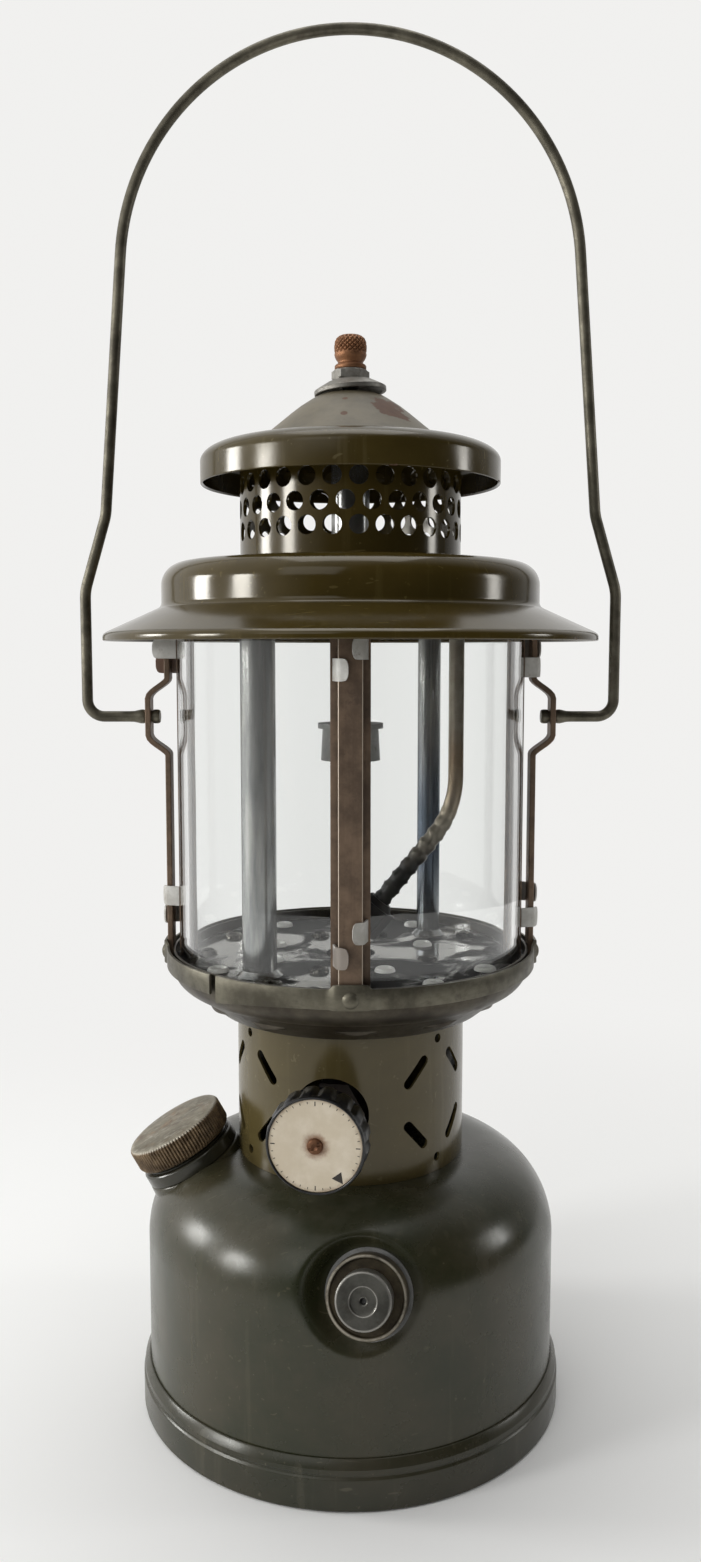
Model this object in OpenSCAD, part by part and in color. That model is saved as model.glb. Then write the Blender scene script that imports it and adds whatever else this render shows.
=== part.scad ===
// Pressure lantern for one mantle: fount with hand pump, pierced collar, glazed cage, ventilator and bail.
// Millimetres, +Z up, the front faces -Y, the origin is the middle of the foot.
// An azimuth is measured from the front, and grows towards +X.

/* [Fount] */
// Outside diameter of the tank
fount_d = 123.4; // [116:0.2:130]
// Height of the tank's flat top
fount_h = 77.2; // [72:0.2:90]
// Radius of the rounded shoulder
shoulder_r = 25; // [20:0.5:28]
// Thickness of the sheet steel
sheet = 0.8; // [0.6:0.1:1]
// How far the foot ring stands out past the tank
skirt_out = 2.2; // [1.6:0.1:4]
// Height of the foot ring
skirt_h = 14.2; // [11:0.2:20]
// Height of the tank floor at its rim
floor_h = 8; // [5:0.5:10]
// Rise of the tank floor to its middle
floor_rise = 4; // [2:0.5:6]

/* [Filler] */
// Azimuth of the filler on the shoulder
filler_az = -86; // [-110:1:-70]
// Lean of the filler's axis from the vertical
filler_tilt = 29; // [27:0.5:40]
// Diameter of the filler bushing
neck_d = 29.8; // [26:0.2:30]
// Height of the bushing above its seat
neck_h = 3.9; // [3:0.1:6]
// Depth of the seat under the shoulder's crest
seat_drop = 1.4; // [1:0.1:1.6]
// Diameter of the bushing's outside thread
neck_thread_d = 26; // [24:0.2:26.6]
// Length of the bushing's outside thread
neck_thread_h = 5.9; // [5:0.1:8]
// Bore of the bushing
neck_bore = 19; // [14:0.5:20]
// Diameter of the knurled cap
cap_d = 30.4; // [29:0.2:32]
// Height of the knurled cap
cap_h = 7.9; // [7.5:0.1:10]
// Thread left showing under the cap
cap_gap = 1.2; // [0.6:0.1:1.6]
// Thickness of the seal in the cap
gasket_t = 1.3; // [0.8:0.1:1.6]

/* [Pump] */
// Sideways offset of the pump from the front
pump_x = 4.2; // [3:0.2:8]
// Height of the pump's mouth above the foot of the shoulder
pump_rise = 6.3; // [2:0.1:9]
// Azimuth that the pump's axis points to
pump_az = -9.5; // [-14:0.5:-9]
// Rise of the pump's axis
pump_tilt = 18; // [14:0.5:22]
// Diameter of the recess at its floor
recess_floor_d = 25; // [24:0.2:28]
// Diameter of the recess at its mouth
recess_mouth_d = 35; // [32:0.5:38]
// Depth of the recess
recess_depth = 5; // [4.5:0.1:7]
// Diameter of the pump's closing ring
pump_cap_d = 21.8; // [21.4:0.1:23]
// Outside diameter of the barrel
barrel_d = 18.8; // [16:0.1:19]
// Length of the barrel below the recess floor
barrel_len = 88; // [86:0.5:90]
// Diameter of the plunger tube
plunger_d = 6.4; // [5.6:0.1:7]
// Diameter of the air stem
air_stem_d = 2.6; // [2:0.1:3]
// Diameter of the thumb knob
pump_knob_d = 14.2; // [13:0.1:17]
// Height of the thumb knob
pump_knob_h = 4.4; // [4.2:0.1:8]

/* [Collar and valve] */
// Outside diameter of the collar
collar_d = 68.4; // [64:0.2:68.6]
// Height of the collar
collar_h = 43.8; // [42:0.2:50]
// Azimuth of the valve stem
valve_az = -9.5; // [-14:0.5:-6]
// Height of the valve stem above the tank
valve_h = 20.4; // [18:0.2:24]
// Opening in the collar for the valve
valve_hole_d = 21.4; // [18:0.2:22]
// Diameter of the valve stem
stem_d = 5; // [4:0.1:6]
// Reach of the handwheel's face from the axis
wheel_reach = 57; // [54:0.5:62]
// Diameter of the handwheel
wheel_d = 27.6; // [26.8:0.2:29]
// Thickness of the handwheel
wheel_t = 9.5; // [8:0.1:12]
// Number of grips round the handwheel
wheel_grips = 16; // [10:1:20]
// Diameter of the dial
dial_d = 25.4; // [22:0.2:25.8]
// Diameter of the handwheel screw's head
wheel_screw_d = 4.6; // [4:0.1:6]
// Azimuth of the two front slot groups from the valve
slot_group_az = 53; // [48:0.5:56]
// Turn of all the slots from the valve
slot_turn = 3.6; // [0:0.2:6]
// Length of a slot
slot_len = 11; // [8:0.1:11.6]
// Width of a slot
slot_w = 3; // [2:0.1:3.2]
// Lean of a slot from the horizontal
slot_lean = 48; // [40:1:55]
// Sideways distance of a slot from its group's middle
slot_off = 8.3; // [7.5:0.1:9]
// Upward distance of a slot from its group's middle
slot_rise = 9.2; // [8.5:0.1:10]
// Diameter of the small holes at a group's points
pin_hole_d = 2.6; // [1.5:0.1:3]
// Distance of the small holes from the group's middle
pin_hole_off = 17.6; // [16.5:0.1:18]

/* [Globe cage] */
// Height of the bowl from the collar to the band
bowl_h = 13; // [10:0.5:18]
// Thickness of the burner plate
plate_t = 0.8; // [0.6:0.1:1.5]
// Height of the plate's face above the band's foot
plate_rise = 2.3; // [1.8:0.1:3]
// Outside diameter of the globe
globe_d = 102; // [98:0.2:103]
// Thickness of the glass
glass_t = 2.4; // [1.8:0.1:3]
// Height of the glass
glass_h = 101; // [98:0.5:101.5]
// Distance from the axis to the inside of the posts
post_in = 53.4; // [53.2:0.1:54]
// Width of a post
post_w = 6.4; // [5:0.1:7]
// Thickness of a post
post_t = 1.6; // [1:0.1:1.8]
// Height of a post
post_h = 105.2; // [104.8:0.2:107]
// Height of the cage band
band_h = 5.5; // [5:0.1:7]
// Width of the gap where the band is split
band_gap = 2.5; // [1:0.1:4]
// Azimuth of that gap
band_gap_az = -43; // [-60:1:-30]
// Height of the folded foot over a post
foot_h = 6.9; // [6.6:0.1:8]
// Height of the bail's pivot above the band's foot
ear_h = 73.9; // [70:0.1:76]
// How far the side posts jog out for the bail
ear_out = 5.8; // [4.5:0.1:6.5]
// Height of the flat of an ear
ear_flat = 10.5; // [8:0.1:14]
// Height of each slope of an ear
ear_slope = 6; // [4:0.1:8]
// Thickness of the tin edge strips
tin = 0.5; // [0.3:0.05:0.6]
// Width of an edge strip
strip_w = 3.5; // [3:0.1:4.5]
// Height of a tab
tab_h = 5.8; // [4:0.1:7]
// Heights of the tabs on a pane's left edge above the band's foot
tab_left_low = 20.4; // [18:0.2:24]
// Height of the upper one
tab_left_high = 94; // [93:0.2:95]
// Heights of the tabs on a pane's right edge above the band's foot
tab_right_low = 13.8; // [12:0.2:14]
// Height of the upper one
tab_right_high = 88.5; // [88.3:0.1:90]
// Diameter of a rivet's head
rivet_d = 4.5; // [3.6:0.1:5.4]
// Diameter of a rivet's shank
rivet_shank_d = 2.4; // [2:0.1:3]

/* [Burner] */
// Azimuth of the thick burner tube
burner_az = -44; // [-55:1:-35]
// Distance of the burner tubes from the axis
tube_off = 36.5; // [34:0.5:38]
// Diameter of the thick tube
air_tube_d = 9.6; // [8:0.1:10]
// Diameter of the thin tube
support_tube_d = 7.4; // [6:0.1:9]
// Wall of the burner tubes
tube_wall = 0.9; // [0.6:0.1:1.2]
// Height of the cross tube above the plate
manifold_h = 107; // [105:0.5:108]
// Diameter of the cross tube
manifold_d = 11.2; // [10.5:0.1:12]
// Height of the cross tube's centre post
center_post_h = 40; // [36:0.5:41]
// Height of the mantle holder's top above the plate
burner_cap_z = 69.7; // [64:0.1:76]
// Diameter of the mantle holder
burner_cap_d = 17.7; // [16:0.1:20]
// Height of the mantle holder
burner_cap_h = 11; // [9:0.5:14]
// Diameter of the generator tube
generator_d = 4.6; // [4:0.1:5.4]
// Distance of the generator's upright run from the axis
generator_off = 31.6; // [27:0.2:33]
// Lean of the generator's lower run
generator_lean = 39; // [35:0.5:44]
// Height of the generator's foot above the plate
generator_foot = 4.7; // [4:0.1:6]
// Diameter of the air holes in the plate
air_hole_d = 3.6; // [3:0.1:4.5]

/* [Ventilator] */
// How far the dome's outside stands past the posts
hood_over = 0.3; // [0.3:0.1:1]
// Height of the hood's dome
hood_h = 13.3; // [12:0.1:16]
// Radius of the dome's upper edge
hood_edge_r = 6.5; // [5:0.1:8]
// Diameter of the brim
brim_d = 144.4; // [140:0.2:146]
// Depth of the rolled part of the brim
brim_roll_h = 2.2; // [1.6:0.1:3]
// Width of the rolled part of the brim
brim_roll_w = 4.5; // [3.6:0.1:6]
// Height of the brim's plain edge
brim_lip = 1.2; // [0.8:0.1:2]
// Fall of the brim from the dome to its rolled part
brim_fall = 5.8; // [5:0.1:7]
// Outside diameter of the pierced chimney
chimney_d = 64.6; // [60:0.2:66]
// Height from the hood's top to the cap's edge
cap_edge_h = 22.6; // [21:0.1:25]
// Diameter of the chimney's holes
vent_hole_d = 5.3; // [4:0.1:5.4]
// Holes in a row
vent_holes = 28; // [20:1:28]
// Rows of holes
vent_rows = 4; // [2:1:4]
// Height of the lowest row above the hood's top
vent_row_h = 8.7; // [8:0.1:9.5]
// Distance between rows
vent_row_pitch = 6.55; // [6.4:0.05:7]
// Diameter of the ventilator's cap
vent_cap_d = 87.4; // [84:0.2:92]
// Height of the cap's upright edge
vent_cap_lip = 6.4; // [4:0.1:8]
// Width of the cap's rounded edge
vent_cap_roll_w = 9.7; // [8:0.1:10.5]
// Height of the cap's rounded edge
vent_cap_roll_h = 5; // [4:0.1:7]
// Rise from the rounded edge to the cone
vent_cap_rise = 0.6; // [0.4:0.1:4]
// Diameter of the cone's foot
cone_foot_d = 56; // [50:0.2:58]
// Diameter of the cone's flat top
cone_top_d = 18.6; // [16:0.2:22]
// Height of the cone
cone_h = 13.9; // [11:0.1:16]

/* [Top fastening] */
// Diameter of the stud
stud_d = 4.8; // [4:0.1:5]
// Diameter of the dished washer
washer_d = 21; // [18:0.2:24]
// Thickness of the dished washer
washer_t = 1.2; // [0.8:0.1:1.5]
// Height of the dished washer
washer_h = 3.6; // [2.5:0.1:4.5]
// Distance across the lock nut's corners
lock_nut_d = 11; // [9:0.1:13]
// Height of the lock nut
lock_nut_h = 2.8; // [2:0.1:4]
// Diameter of the ball nut
ball_d = 9.5; // [8.6:0.1:11]
// Height of the ball nut
ball_h = 10.6; // [9.8:0.1:13]
// Diameter of the ball nut's foot
ball_foot_d = 9.2; // [8:0.1:11]
// Diameter of the ball nut's neck
ball_neck_d = 7.1; // [6.6:0.1:8]

/* [Bail] */
// Diameter of the wire
wire_d = 3.2; // [2.6:0.1:3.6]
// Half width of the bail at its foot
bail_half = 78.3; // [78:0.1:84]
// Height of the upright foot above the pivot
bail_foot_h = 37; // [34:0.5:40]
// Half width of the bail at its kink
bail_kink_half = 71.8; // [70:0.1:74]
// Height of the kink above the pivot
bail_kink_h = 59; // [57:0.5:66]
// Radius of the arch
bail_arch_r = 66.4; // [62:0.1:68]
// Height of the arch's centre above the pivot
bail_arch_h = 128; // [124:0.5:140]
// Diameter of the upset heads
bail_head_d = 4.2; // [4:0.1:5]

/* [Hidden] */
$fn = 64;

// Clearances: soldered or seated pieces, turning fits, pieces that pass each other, cutters and wire joints.
// A cutter named through is longer than any wall it cuts.
seam = 0.05;
fit = 0.08;
pass = 0.3;
over = 1;
weld_out = 0.03;
weld_len = 0.4;
through = 20;
hexagon = 6;
quarters = [0:90:270];

// Colours
olive = [0.29, 0.28, 0.22];
enamel = [0.34, 0.30, 0.16];
bronze = [0.28, 0.24, 0.20];
steel = [0.55, 0.54, 0.50];
tin_grey = [0.72, 0.72, 0.70];
brass = [0.60, 0.45, 0.25];
black = [0.06, 0.06, 0.06];
cream = [0.84, 0.78, 0.70];
leather = [0.35, 0.22, 0.12];
rubber = [0.10, 0.10, 0.10];
glass = [0.80, 0.90, 0.90, 0.35];

// Fount
fount_r = fount_d / 2;
shoulder_z = fount_h - shoulder_r;
skirt_r = fount_r + skirt_out;
skirt_flange_t = 0.9;
skirt_flange_w = 3.6;
skirt_edge = 0.5;
// The bead round the foot ring: distances below its top, and inside its outside
skirt_down = [4.8, 4.2, 3.5, 2.4, 1.1];
skirt_in = [0, 0.5, 0.3, 0.4, 1];
floor_bend_r = 2;
floor_ring_r = 37;
floor_ring_rise = 2.8;
floor_flat_r = 15;
shoulder_steps = 16;
shell_foot = skirt_flange_t + seam;

// Filler: its origin is the point of the shoulder on its axis
filler_r = fount_r - shoulder_r + shoulder_r * sin(filler_tilt);
filler_z = shoulder_z + shoulder_r * cos(filler_tilt);
seat_lip = 0.1;
seat_r = neck_d / 2 + seat_lip;
seat_h = 8;
neck_step = 2.5;
thread_groove_z = 0.35;
thread_groove_w = 0.45;
thread_groove_t = 0.4;
gasket_play = 0.2;
cap_edge = 0.4;
neck_top = neck_h - seat_drop;
neck_shank_d = neck_d - 2 * neck_step;
neck_shank_h = 4;
thread_top = neck_top + neck_thread_h;
cap_z = neck_top + cap_gap;
cap_chamfer = 0.9;
gasket_z = thread_top + fit;
cap_roof_z = gasket_z + gasket_t + seam;

// Pump: its origin is where its axis meets the shoulder
pump_z = shoulder_z + pump_rise;
pump_face_r = fount_r - shoulder_r + sqrt(shoulder_r * shoulder_r - pow(pump_z - shoulder_z, 2));
pump_y = -sqrt(pump_face_r * pump_face_r - pump_x * pump_x);
recess_mouth_h = 8;
barrel_r = barrel_d / 2;
barrel_in = barrel_r - sheet;
barrel_end = -recess_depth - barrel_len;
barrel_flange_d = pump_cap_d + 2;
barrel_flange_t = 0.7;
pump_cap_t = 1.2;
pump_cap_rim = 0.8;
barrel_mouth = -pump_cap_t - seam;
plunger_bore = air_stem_d + 2 * pass;
plunger_end = barrel_end + 10;
collet_d = plunger_d + 3.6;
collet_t = 1.4;
leather_t = 1.5;
leather_skirt_h = 4;
retainer_t = 2;
retainer_d = 11;
stub_d = plunger_d - 1;
stub_in = 2;
leather_lip = 1.2;
leather_bevel = 2;
barrel_floor = 2;
check_hex_d = 12;
check_hex_h = 3;
check_seat = 4;
stem_seat = 3;
stem_top = -1;
knob_socket = 3;
knob_edge = 0.6;
knob_sink = 0.7;
check_nut_d = 9;
check_nut_h = 3;
check_shank_d = 7;
check_len = 10;
pump_knob_z = pump_cap_rim + pass;
pump_knob_hole_d = 1.6;
pump_knob_ring_d = 7;

// Collar and valve
collar_r = collar_d / 2;
collar_z = fount_h + seam;
collar_top = fount_h + collar_h;
valve_z = fount_h + valve_h;
slot_z = fount_h + collar_h / 2;
valve_shank_d = 12.4;
valve_shank_h = 9;
valve_flange_d = 30;
valve_flange_t = 2.6;
valve_barrel_d = 17;
valve_barrel_h = 34;
valve_boss_d = 14;
valve_boss_reach = 20;
packing_nut_d = 16;
packing_nut_t = 8;
pickup_d = 4.8;
pickup_foot = 2;
pickup_wall = 0.7;
pickup_gap = 2;
pickup_top = fount_h - pickup_gap - seam;
wheel_back = wheel_reach - wheel_t;
wheel_rim_t = 1.4;
wheel_rim_in = 0.4;
wheel_rim_d = wheel_d - 2 * wheel_rim_in;
dial_t = 0.8;
dial_sink = 0.5;
grip_d = 4;
grip_depth = 0.9;
wheel_edge = 0.8;
needle_d = 1;
needle_len = 3;
screw_head_t = 1.1;
screw_round = 1.2;
screw_slot_w = 0.7;
screw_slot_t = 0.6;
hub_d = 11;
hub_len = 5;
stem_in = 6;
stem_end = wheel_reach - 4;
wheel_screw_shank_d = 2.8;
wheel_screw_len = 7;
screw_head_top = wheel_reach - dial_sink + 2 * seam + screw_head_t;

// Globe cage
band_z = collar_top + bowl_h;
plate_z = band_z + plate_rise;
bowl_rim_r = post_in - 2 * seam;
bowl_rim_top = band_z + band_h - pass;
bowl_z = collar_top + seam;
bowl_seat_w = 2;
bowl_flare_r = 4;
bowl_flare_end = 300;
bowl_roll_w = 9.3;
bowl_roll_h = 7.2;
plate_r = bowl_rim_r - sheet - seam;
plate_leg_z = bowl_z + sheet + seam;
plate_leg_r = collar_r - 0.4;
globe_r = globe_d / 2;
glass_edge = 2.2;
glass_z = plate_z + 0.1;
strip_edge = glass_edge - seam - tin;
strip_out = globe_r + seam + tin;
strip_in = globe_r - glass_t - seam - tin;
post_out = post_in + post_t;
post_top = band_z + post_h;
band_in = post_in + 1;
band_out = band_in + sheet;
foot_w = post_w + 2 * (pass + sheet);
top_ring_out = post_in - seam;
top_ring_t = 1.1;
top_ring_in = top_ring_out - top_ring_t;
top_ring_h = 11;
top_ring_top = post_top + 3;
pivot_z = band_z + ear_h;
pivot_hole_d = wire_d + 2 * fit;
foot_rivet_z = band_z + 2.8;
head_rivet_z = post_top - 4;
rivet_head_t = 1;
rivet_round = 1.6;
tab_reach = 2.9;
tab_lift = 1.2;

// Burner
tube_foot_d = 3.4;
tube_foot_t = 1.6;
tube_foot_z = plate_z + seam;
manifold_z = plate_z + manifold_h;
socket_h = 9;
socket_wall = 1.1;
socket_gap = 2.8;
down_pipe_d = manifold_d;
manifold_bore = manifold_d - 4;
burner_cap_wall = 1.5;
burner_cap_top = plate_z + burner_cap_z;
burner_flange_t = 1.5;
burner_flange_out = 0.9;
generator_z = plate_z + generator_foot;
generator_bend = 28;
generator_top_bend = 9;
generator_nut_d = 12.6;
generator_nut_h = 9;
generator_seat = 4;
jet_boss_d = 8;
jet_boss_end = 13;
jet_len = 5;
jet_end = jet_boss_end - jet_len;
jet_gap = 2.4;
jet_play = 0.4;
jet_tip_d = 2;
nut_cone = 2.4;
nut_cone_h = 1.8;
outlet_d = 8.4;
outlet_len = 2;
riser_d = 10;
plate_hole_d = 15;
center_top = manifold_z + center_post_h;
inner_holes = 8;
inner_holes_r = 24.5;
outer_holes = 12;
outer_holes_r = 43.5;

// Ventilator
hood_r = post_out + hood_over;
hood_seat = 0.1;
hood_z = post_top + hood_seat;
hood_top = hood_z + hood_h;
brim_r = brim_d / 2;
brim_fillet = 2;
// Angles where the brim's slope leaves its rolled part and meets the fillet at the dome
brim_roll_end = 47;
brim_fillet_end = 245;
chimney_r = chimney_d / 2;
chimney_flange = 1.6;
vent_az = 4;
cap_edge_z = hood_top + cap_edge_h;
vent_cap_r = vent_cap_d / 2;
roll_z = cap_edge_z + vent_cap_lip;
roll_top = roll_z + vent_cap_roll_h;
roll_in = vent_cap_r - vent_cap_roll_w;
cone_z = roll_top + vent_cap_rise;
cone_top = cone_z + cone_h;
chimney_top = roll_top + vent_cap_rise * (roll_in - chimney_r) / (roll_in - cone_foot_d / 2) - sheet - pass;

// Top fastening
stud_hole_d = stud_d + 1;
washer_tilt = 2.5;
washer_flat = 0.6;
washer_play = 0.35;
washer_z = cone_top + washer_play;
lock_nut_z = washer_z + washer_h + washer_play;
ball_z = lock_nut_z + lock_nut_h + seam;
ball_foot_t = 1.5;
ball_top = ball_z + ball_h;
ball_flat = 0.4;
ball_c = ball_top - ball_d / 2 + ball_flat;
ball_roof = 2;
stud_top = ball_top - ball_roof;
stud_len_in = 9;

// Bail, in its own plane with the pivot at [0, 0]
wire_r = wire_d / 2;
ear_in = post_in + ear_out;
ear_face = ear_in + post_t;
bail_head_t = 2.2;
bail_collar_t = 3.2;
bail_head_end = ear_in - pass - bail_head_t;
bail_collar_x = ear_face + pass;
bail_corner_r = 5;
bail_bend_r = 16;
arch_c = [0, bail_arch_h];
kink = [bail_kink_half, bail_kink_h];
kink_gap = kink - arch_c;
arch_start = atan2(kink_gap.y, kink_gap.x) + acos(bail_arch_r / norm(kink_gap));
bail_leg = [[bail_head_end, 0], [bail_half, 0], [bail_half, bail_foot_h], kink,
    arch_c + bail_arch_r * [cos(arch_start), sin(arch_start)]];
bail_bends = [0, bail_corner_r, bail_bend_r, bail_bend_r, 0];

// Points on an ellipse, from one angle to another
function arc(c, rx, ry, from, to, steps = 12) =
    [for (i = [0:steps]) let (a = from + (to - from) * i / steps) c + [rx * cos(a), ry * sin(a)]];
function unit(v) = v / norm(v);
function left_of(v) = [-v.y, v.x];
function reversed(list) = [for (i = [len(list) - 1:-1:0]) list[i]];

// The normal of a line at one of its points, long enough to keep the sheet's thickness at a corner
function corner(a, b, c) = let (m = unit(left_of(unit(b - a)) + left_of(unit(c - b))))
    m / (m * left_of(unit(b - a)));
function line_normal(line, i) =
    i == 0 ? left_of(unit(line[1] - line[0])) :
    i == len(line) - 1 ? left_of(unit(line[i] - line[i - 1])) :
    corner(line[i - 1], line[i], line[i + 1]);
function beside(line, t) = [for (i = [0:len(line) - 1]) line[i] + t * line_normal(line, i)];

// Sheet metal spun from a line of [radius, height] points, with its thickness on the line's left
module spun_sheet(line, t)
    rotate_extrude() polygon(concat(line, reversed(beside(line, t))));

module ring(r_out, r_in, h)
    difference() {
        cylinder(r = r_out, h = h);
        translate([0, 0, -over]) cylinder(r = r_in, h = h + 2 * over);
    }

// Frames: local +Z is the axis of the piece
module along_valve() translate([0, 0, valve_z]) rotate([90, 0, valve_az]) children();
module along_pump() translate([pump_x, pump_y, pump_z]) rotate([90 - pump_tilt, 0, pump_az]) children();
module along_filler()
    rotate([0, 0, filler_az]) translate([0, -filler_r, filler_z]) rotate([filler_tilt, 0, 0]) children();
module along_outlet() translate([0, 0, generator_z]) rotate([0, generator_lean, 0]) children();
module at_burner(turn) rotate([0, 0, burner_az + turn]) translate([0, -tube_off, 0]) children();
// A [radius, height] drawing, extruded sideways at the front
module on_front(w) rotate([90, 0, -90]) linear_extrude(w, center = true) children();
// A hole through the front, from r_in to r_out
module radial_hole(d, z, r_in, r_out)
    translate([0, -r_in, z]) rotate([90, 0, 0]) cylinder(d = d, h = r_out - r_in);

module rivet_hole(z, r_in, r_out) radial_hole(rivet_shank_d + 2 * seam, z, r_in, r_out);

// Wire in the XZ plane along corner points, each rounded to its bend
function heading(p, i) = unit(p[i + 1] - p[i]);
function turn_at(p, i) = acos(heading(p, i - 1) * heading(p, i));
function trim_at(p, bends, i) = bends[i] == 0 ? 0 : bends[i] * tan(turn_at(p, i) / 2);
function turn_sign(p, i) = cross(heading(p, i - 1), heading(p, i)) > 0 ? 1 : -1;
module straight_wire(a, b, r)
    translate([a.x, 0, a.y]) rotate([0, atan2(b.x - a.x, b.y - a.y), 0]) cylinder(r = r, h = norm(b - a));
module curved_wire(c, bend, from, turn, r)
    translate([c.x, 0, c.y]) rotate([90, 0, 0]) rotate([0, 0, from])
        rotate_extrude(angle = turn) translate([bend, 0]) circle(r);
// Thin collar that joins two lengths of wire
module weld(at, along, r)
    translate([at.x, 0, at.y]) rotate([0, atan2(along.x, along.y), 0])
        cylinder(r = r + weld_out, h = weld_len, center = true);
module bent_wire(p, bends, r) {
    for (i = [0:len(p) - 2])
        straight_wire(p[i] + heading(p, i) * trim_at(p, bends, i),
            p[i + 1] - heading(p, i) * trim_at(p, bends, i + 1), r);
    for (i = [1:len(p) - 2]) {
        side = turn_sign(p, i);
        start = p[i] - heading(p, i - 1) * trim_at(p, bends, i);
        c = start + side * bends[i] * left_of(heading(p, i - 1));
        from = atan2(start.y - c.y, start.x - c.x);
        curved_wire(c, bends[i], side > 0 ? from : from - turn_at(p, i), turn_at(p, i), r);
        weld(start, heading(p, i - 1), r);
        weld(p[i] + heading(p, i) * trim_at(p, bends, i), heading(p, i), r);
    }
}

// Solid shape of the tank, a given depth inside its outside, without its recess
module fount_solid(depth)
    rotate_extrude() polygon(concat(
        [[0, -over], [fount_r - depth, -over]],
        arc([fount_r - shoulder_r, shoulder_z], shoulder_r - depth, shoulder_r - depth, 0, 90,
            shoulder_steps),
        [[0, fount_h - depth]]));

// Cutter for the pump's recess, grown by the wall
module recess(grow)
    along_pump() rotate_extrude() polygon([
        [0, -recess_depth - grow],
        [recess_floor_d / 2 + grow, -recess_depth - grow],
        [recess_mouth_d / 2 + grow, 0],
        [recess_mouth_d / 2 + grow + recess_mouth_h / 2, recess_mouth_h],
        [0, recess_mouth_h]]);

// Cutter above the flat under the filler, a given depth inside its outside
module seat_flat(depth)
    along_filler() translate([0, 0, -seat_drop - depth]) cylinder(r = seat_r + depth, h = through);

// Raised round seat for the filler, a given depth inside its outside
module filler_seat(depth)
    along_filler() translate([0, 0, -seat_drop - seat_h]) cylinder(r = seat_r - depth, h = seat_h - depth);

module fount_shell() color(olive) difference() {
    union() {
        difference() {
            fount_solid(0);
            recess(0);
            seat_flat(0);
        }
        filler_seat(0);
    }
    difference() {
        fount_solid(sheet);
        recess(sheet);
        seat_flat(sheet);
    }
    filler_seat(sheet);
    translate([0, 0, shell_foot - 2 * over]) cylinder(r = fount_r + over, h = 2 * over);
    cylinder(d = valve_shank_d + 2 * seam, h = fount_h + over);
    along_filler() translate([0, 0, -through]) cylinder(d = neck_shank_d + 2 * seam, h = through);
    along_pump() translate([0, 0, -through]) cylinder(d = barrel_d + 2 * seam, h = through);
}

module base_skirt() color(olive) rotate_extrude() polygon(concat(
    [[skirt_r - skirt_flange_w, 0], [skirt_r - skirt_edge, 0], [skirt_r, skirt_edge]],
    [for (i = [0:len(skirt_in) - 1]) [skirt_r - skirt_in[i], skirt_h - skirt_down[i]]],
    [[fount_r + skirt_edge, skirt_h], [fount_r + seam, skirt_h], [fount_r + seam, skirt_flange_t],
        [skirt_r - skirt_flange_w, skirt_flange_t]]));

floor_r = fount_r - sheet - seam;
module fount_bottom() color(olive) spun_sheet(concat(
    [[floor_r, shell_foot]],
    arc([floor_r - floor_bend_r, floor_h - floor_bend_r], floor_bend_r, floor_bend_r, 0, 85, 6),
    [[floor_ring_r, floor_h + floor_ring_rise],
        [floor_flat_r, floor_h + floor_rise],
        [0, floor_h + floor_rise]]), sheet);

module filler_neck() color(olive) along_filler() difference() {
    union() {
        translate([0, 0, seam - seat_drop]) cylinder(d = neck_d, h = neck_h - seam);
        cylinder(d = neck_thread_d, h = thread_top);
        translate([0, 0, -seat_drop - neck_shank_h]) cylinder(d = neck_shank_d, h = neck_shank_h + over);
    }
    translate([0, 0, -through]) cylinder(d = neck_bore, h = 2 * through);
    translate([0, 0, neck_top + thread_groove_z])
        ring(neck_thread_d, neck_thread_d / 2 - thread_groove_t, thread_groove_w);
}

module filler_gasket() color(rubber) along_filler() translate([0, 0, gasket_z])
    ring(neck_thread_d / 2 - gasket_play, neck_bore / 2 + gasket_play, gasket_t);

module filler_cap() color(olive) along_filler() rotate_extrude() polygon([
    [neck_thread_d / 2 + fit, cap_z],
    [cap_d / 2 - cap_chamfer, cap_z],
    [cap_d / 2, cap_z + cap_chamfer],
    [cap_d / 2, cap_z + cap_h - cap_edge],
    [cap_d / 2 - cap_edge, cap_z + cap_h],
    [0, cap_z + cap_h],
    [0, cap_roof_z],
    [neck_thread_d / 2 + fit, cap_roof_z]]);

module pump_barrel() color(steel) along_pump() difference() {
    union() {
        translate([0, 0, barrel_end]) cylinder(d = barrel_d, h = barrel_mouth - barrel_end);
        translate([0, 0, seam - recess_depth]) cylinder(d = barrel_flange_d, h = barrel_flange_t);
    }
    translate([0, 0, barrel_end + barrel_floor]) cylinder(r = barrel_in, h = barrel_len + recess_depth);
    translate([0, 0, barrel_end - over]) cylinder(d = check_shank_d + 2 * seam, h = barrel_floor + 2 * over);
}

module pump_cap() color(olive) along_pump() difference() {
    translate([0, 0, barrel_flange_t + 2 * seam - recess_depth])
        cylinder(d = pump_cap_d, h = recess_depth - barrel_flange_t - 2 * seam + pump_cap_rim);
    cylinder(d = pump_cap_d - 2, h = pump_cap_rim + over);
    translate([0, 0, -recess_depth]) cylinder(d = barrel_d + 2 * seam, h = recess_depth - pump_cap_t);
    translate([0, 0, -pump_cap_t - over]) cylinder(d = plunger_d + 2 * fit, h = pump_cap_t + 2 * over);
}

module check_valve() color(brass) along_pump() difference() {
    union() {
        translate([0, 0, barrel_end + barrel_floor + seam]) cylinder(d = check_nut_d, h = check_nut_h);
        translate([0, 0, barrel_end - check_len])
            cylinder(d = check_shank_d, h = check_len + barrel_floor + check_nut_h / 2);
        translate([0, 0, barrel_end - seam - check_hex_h])
            cylinder(d = check_hex_d, h = check_hex_h, $fn = hexagon);
    }
    translate([0, 0, barrel_end - check_seat])
        cylinder(d = air_stem_d + 2 * fit, h = check_len + check_nut_h);
}

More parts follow.
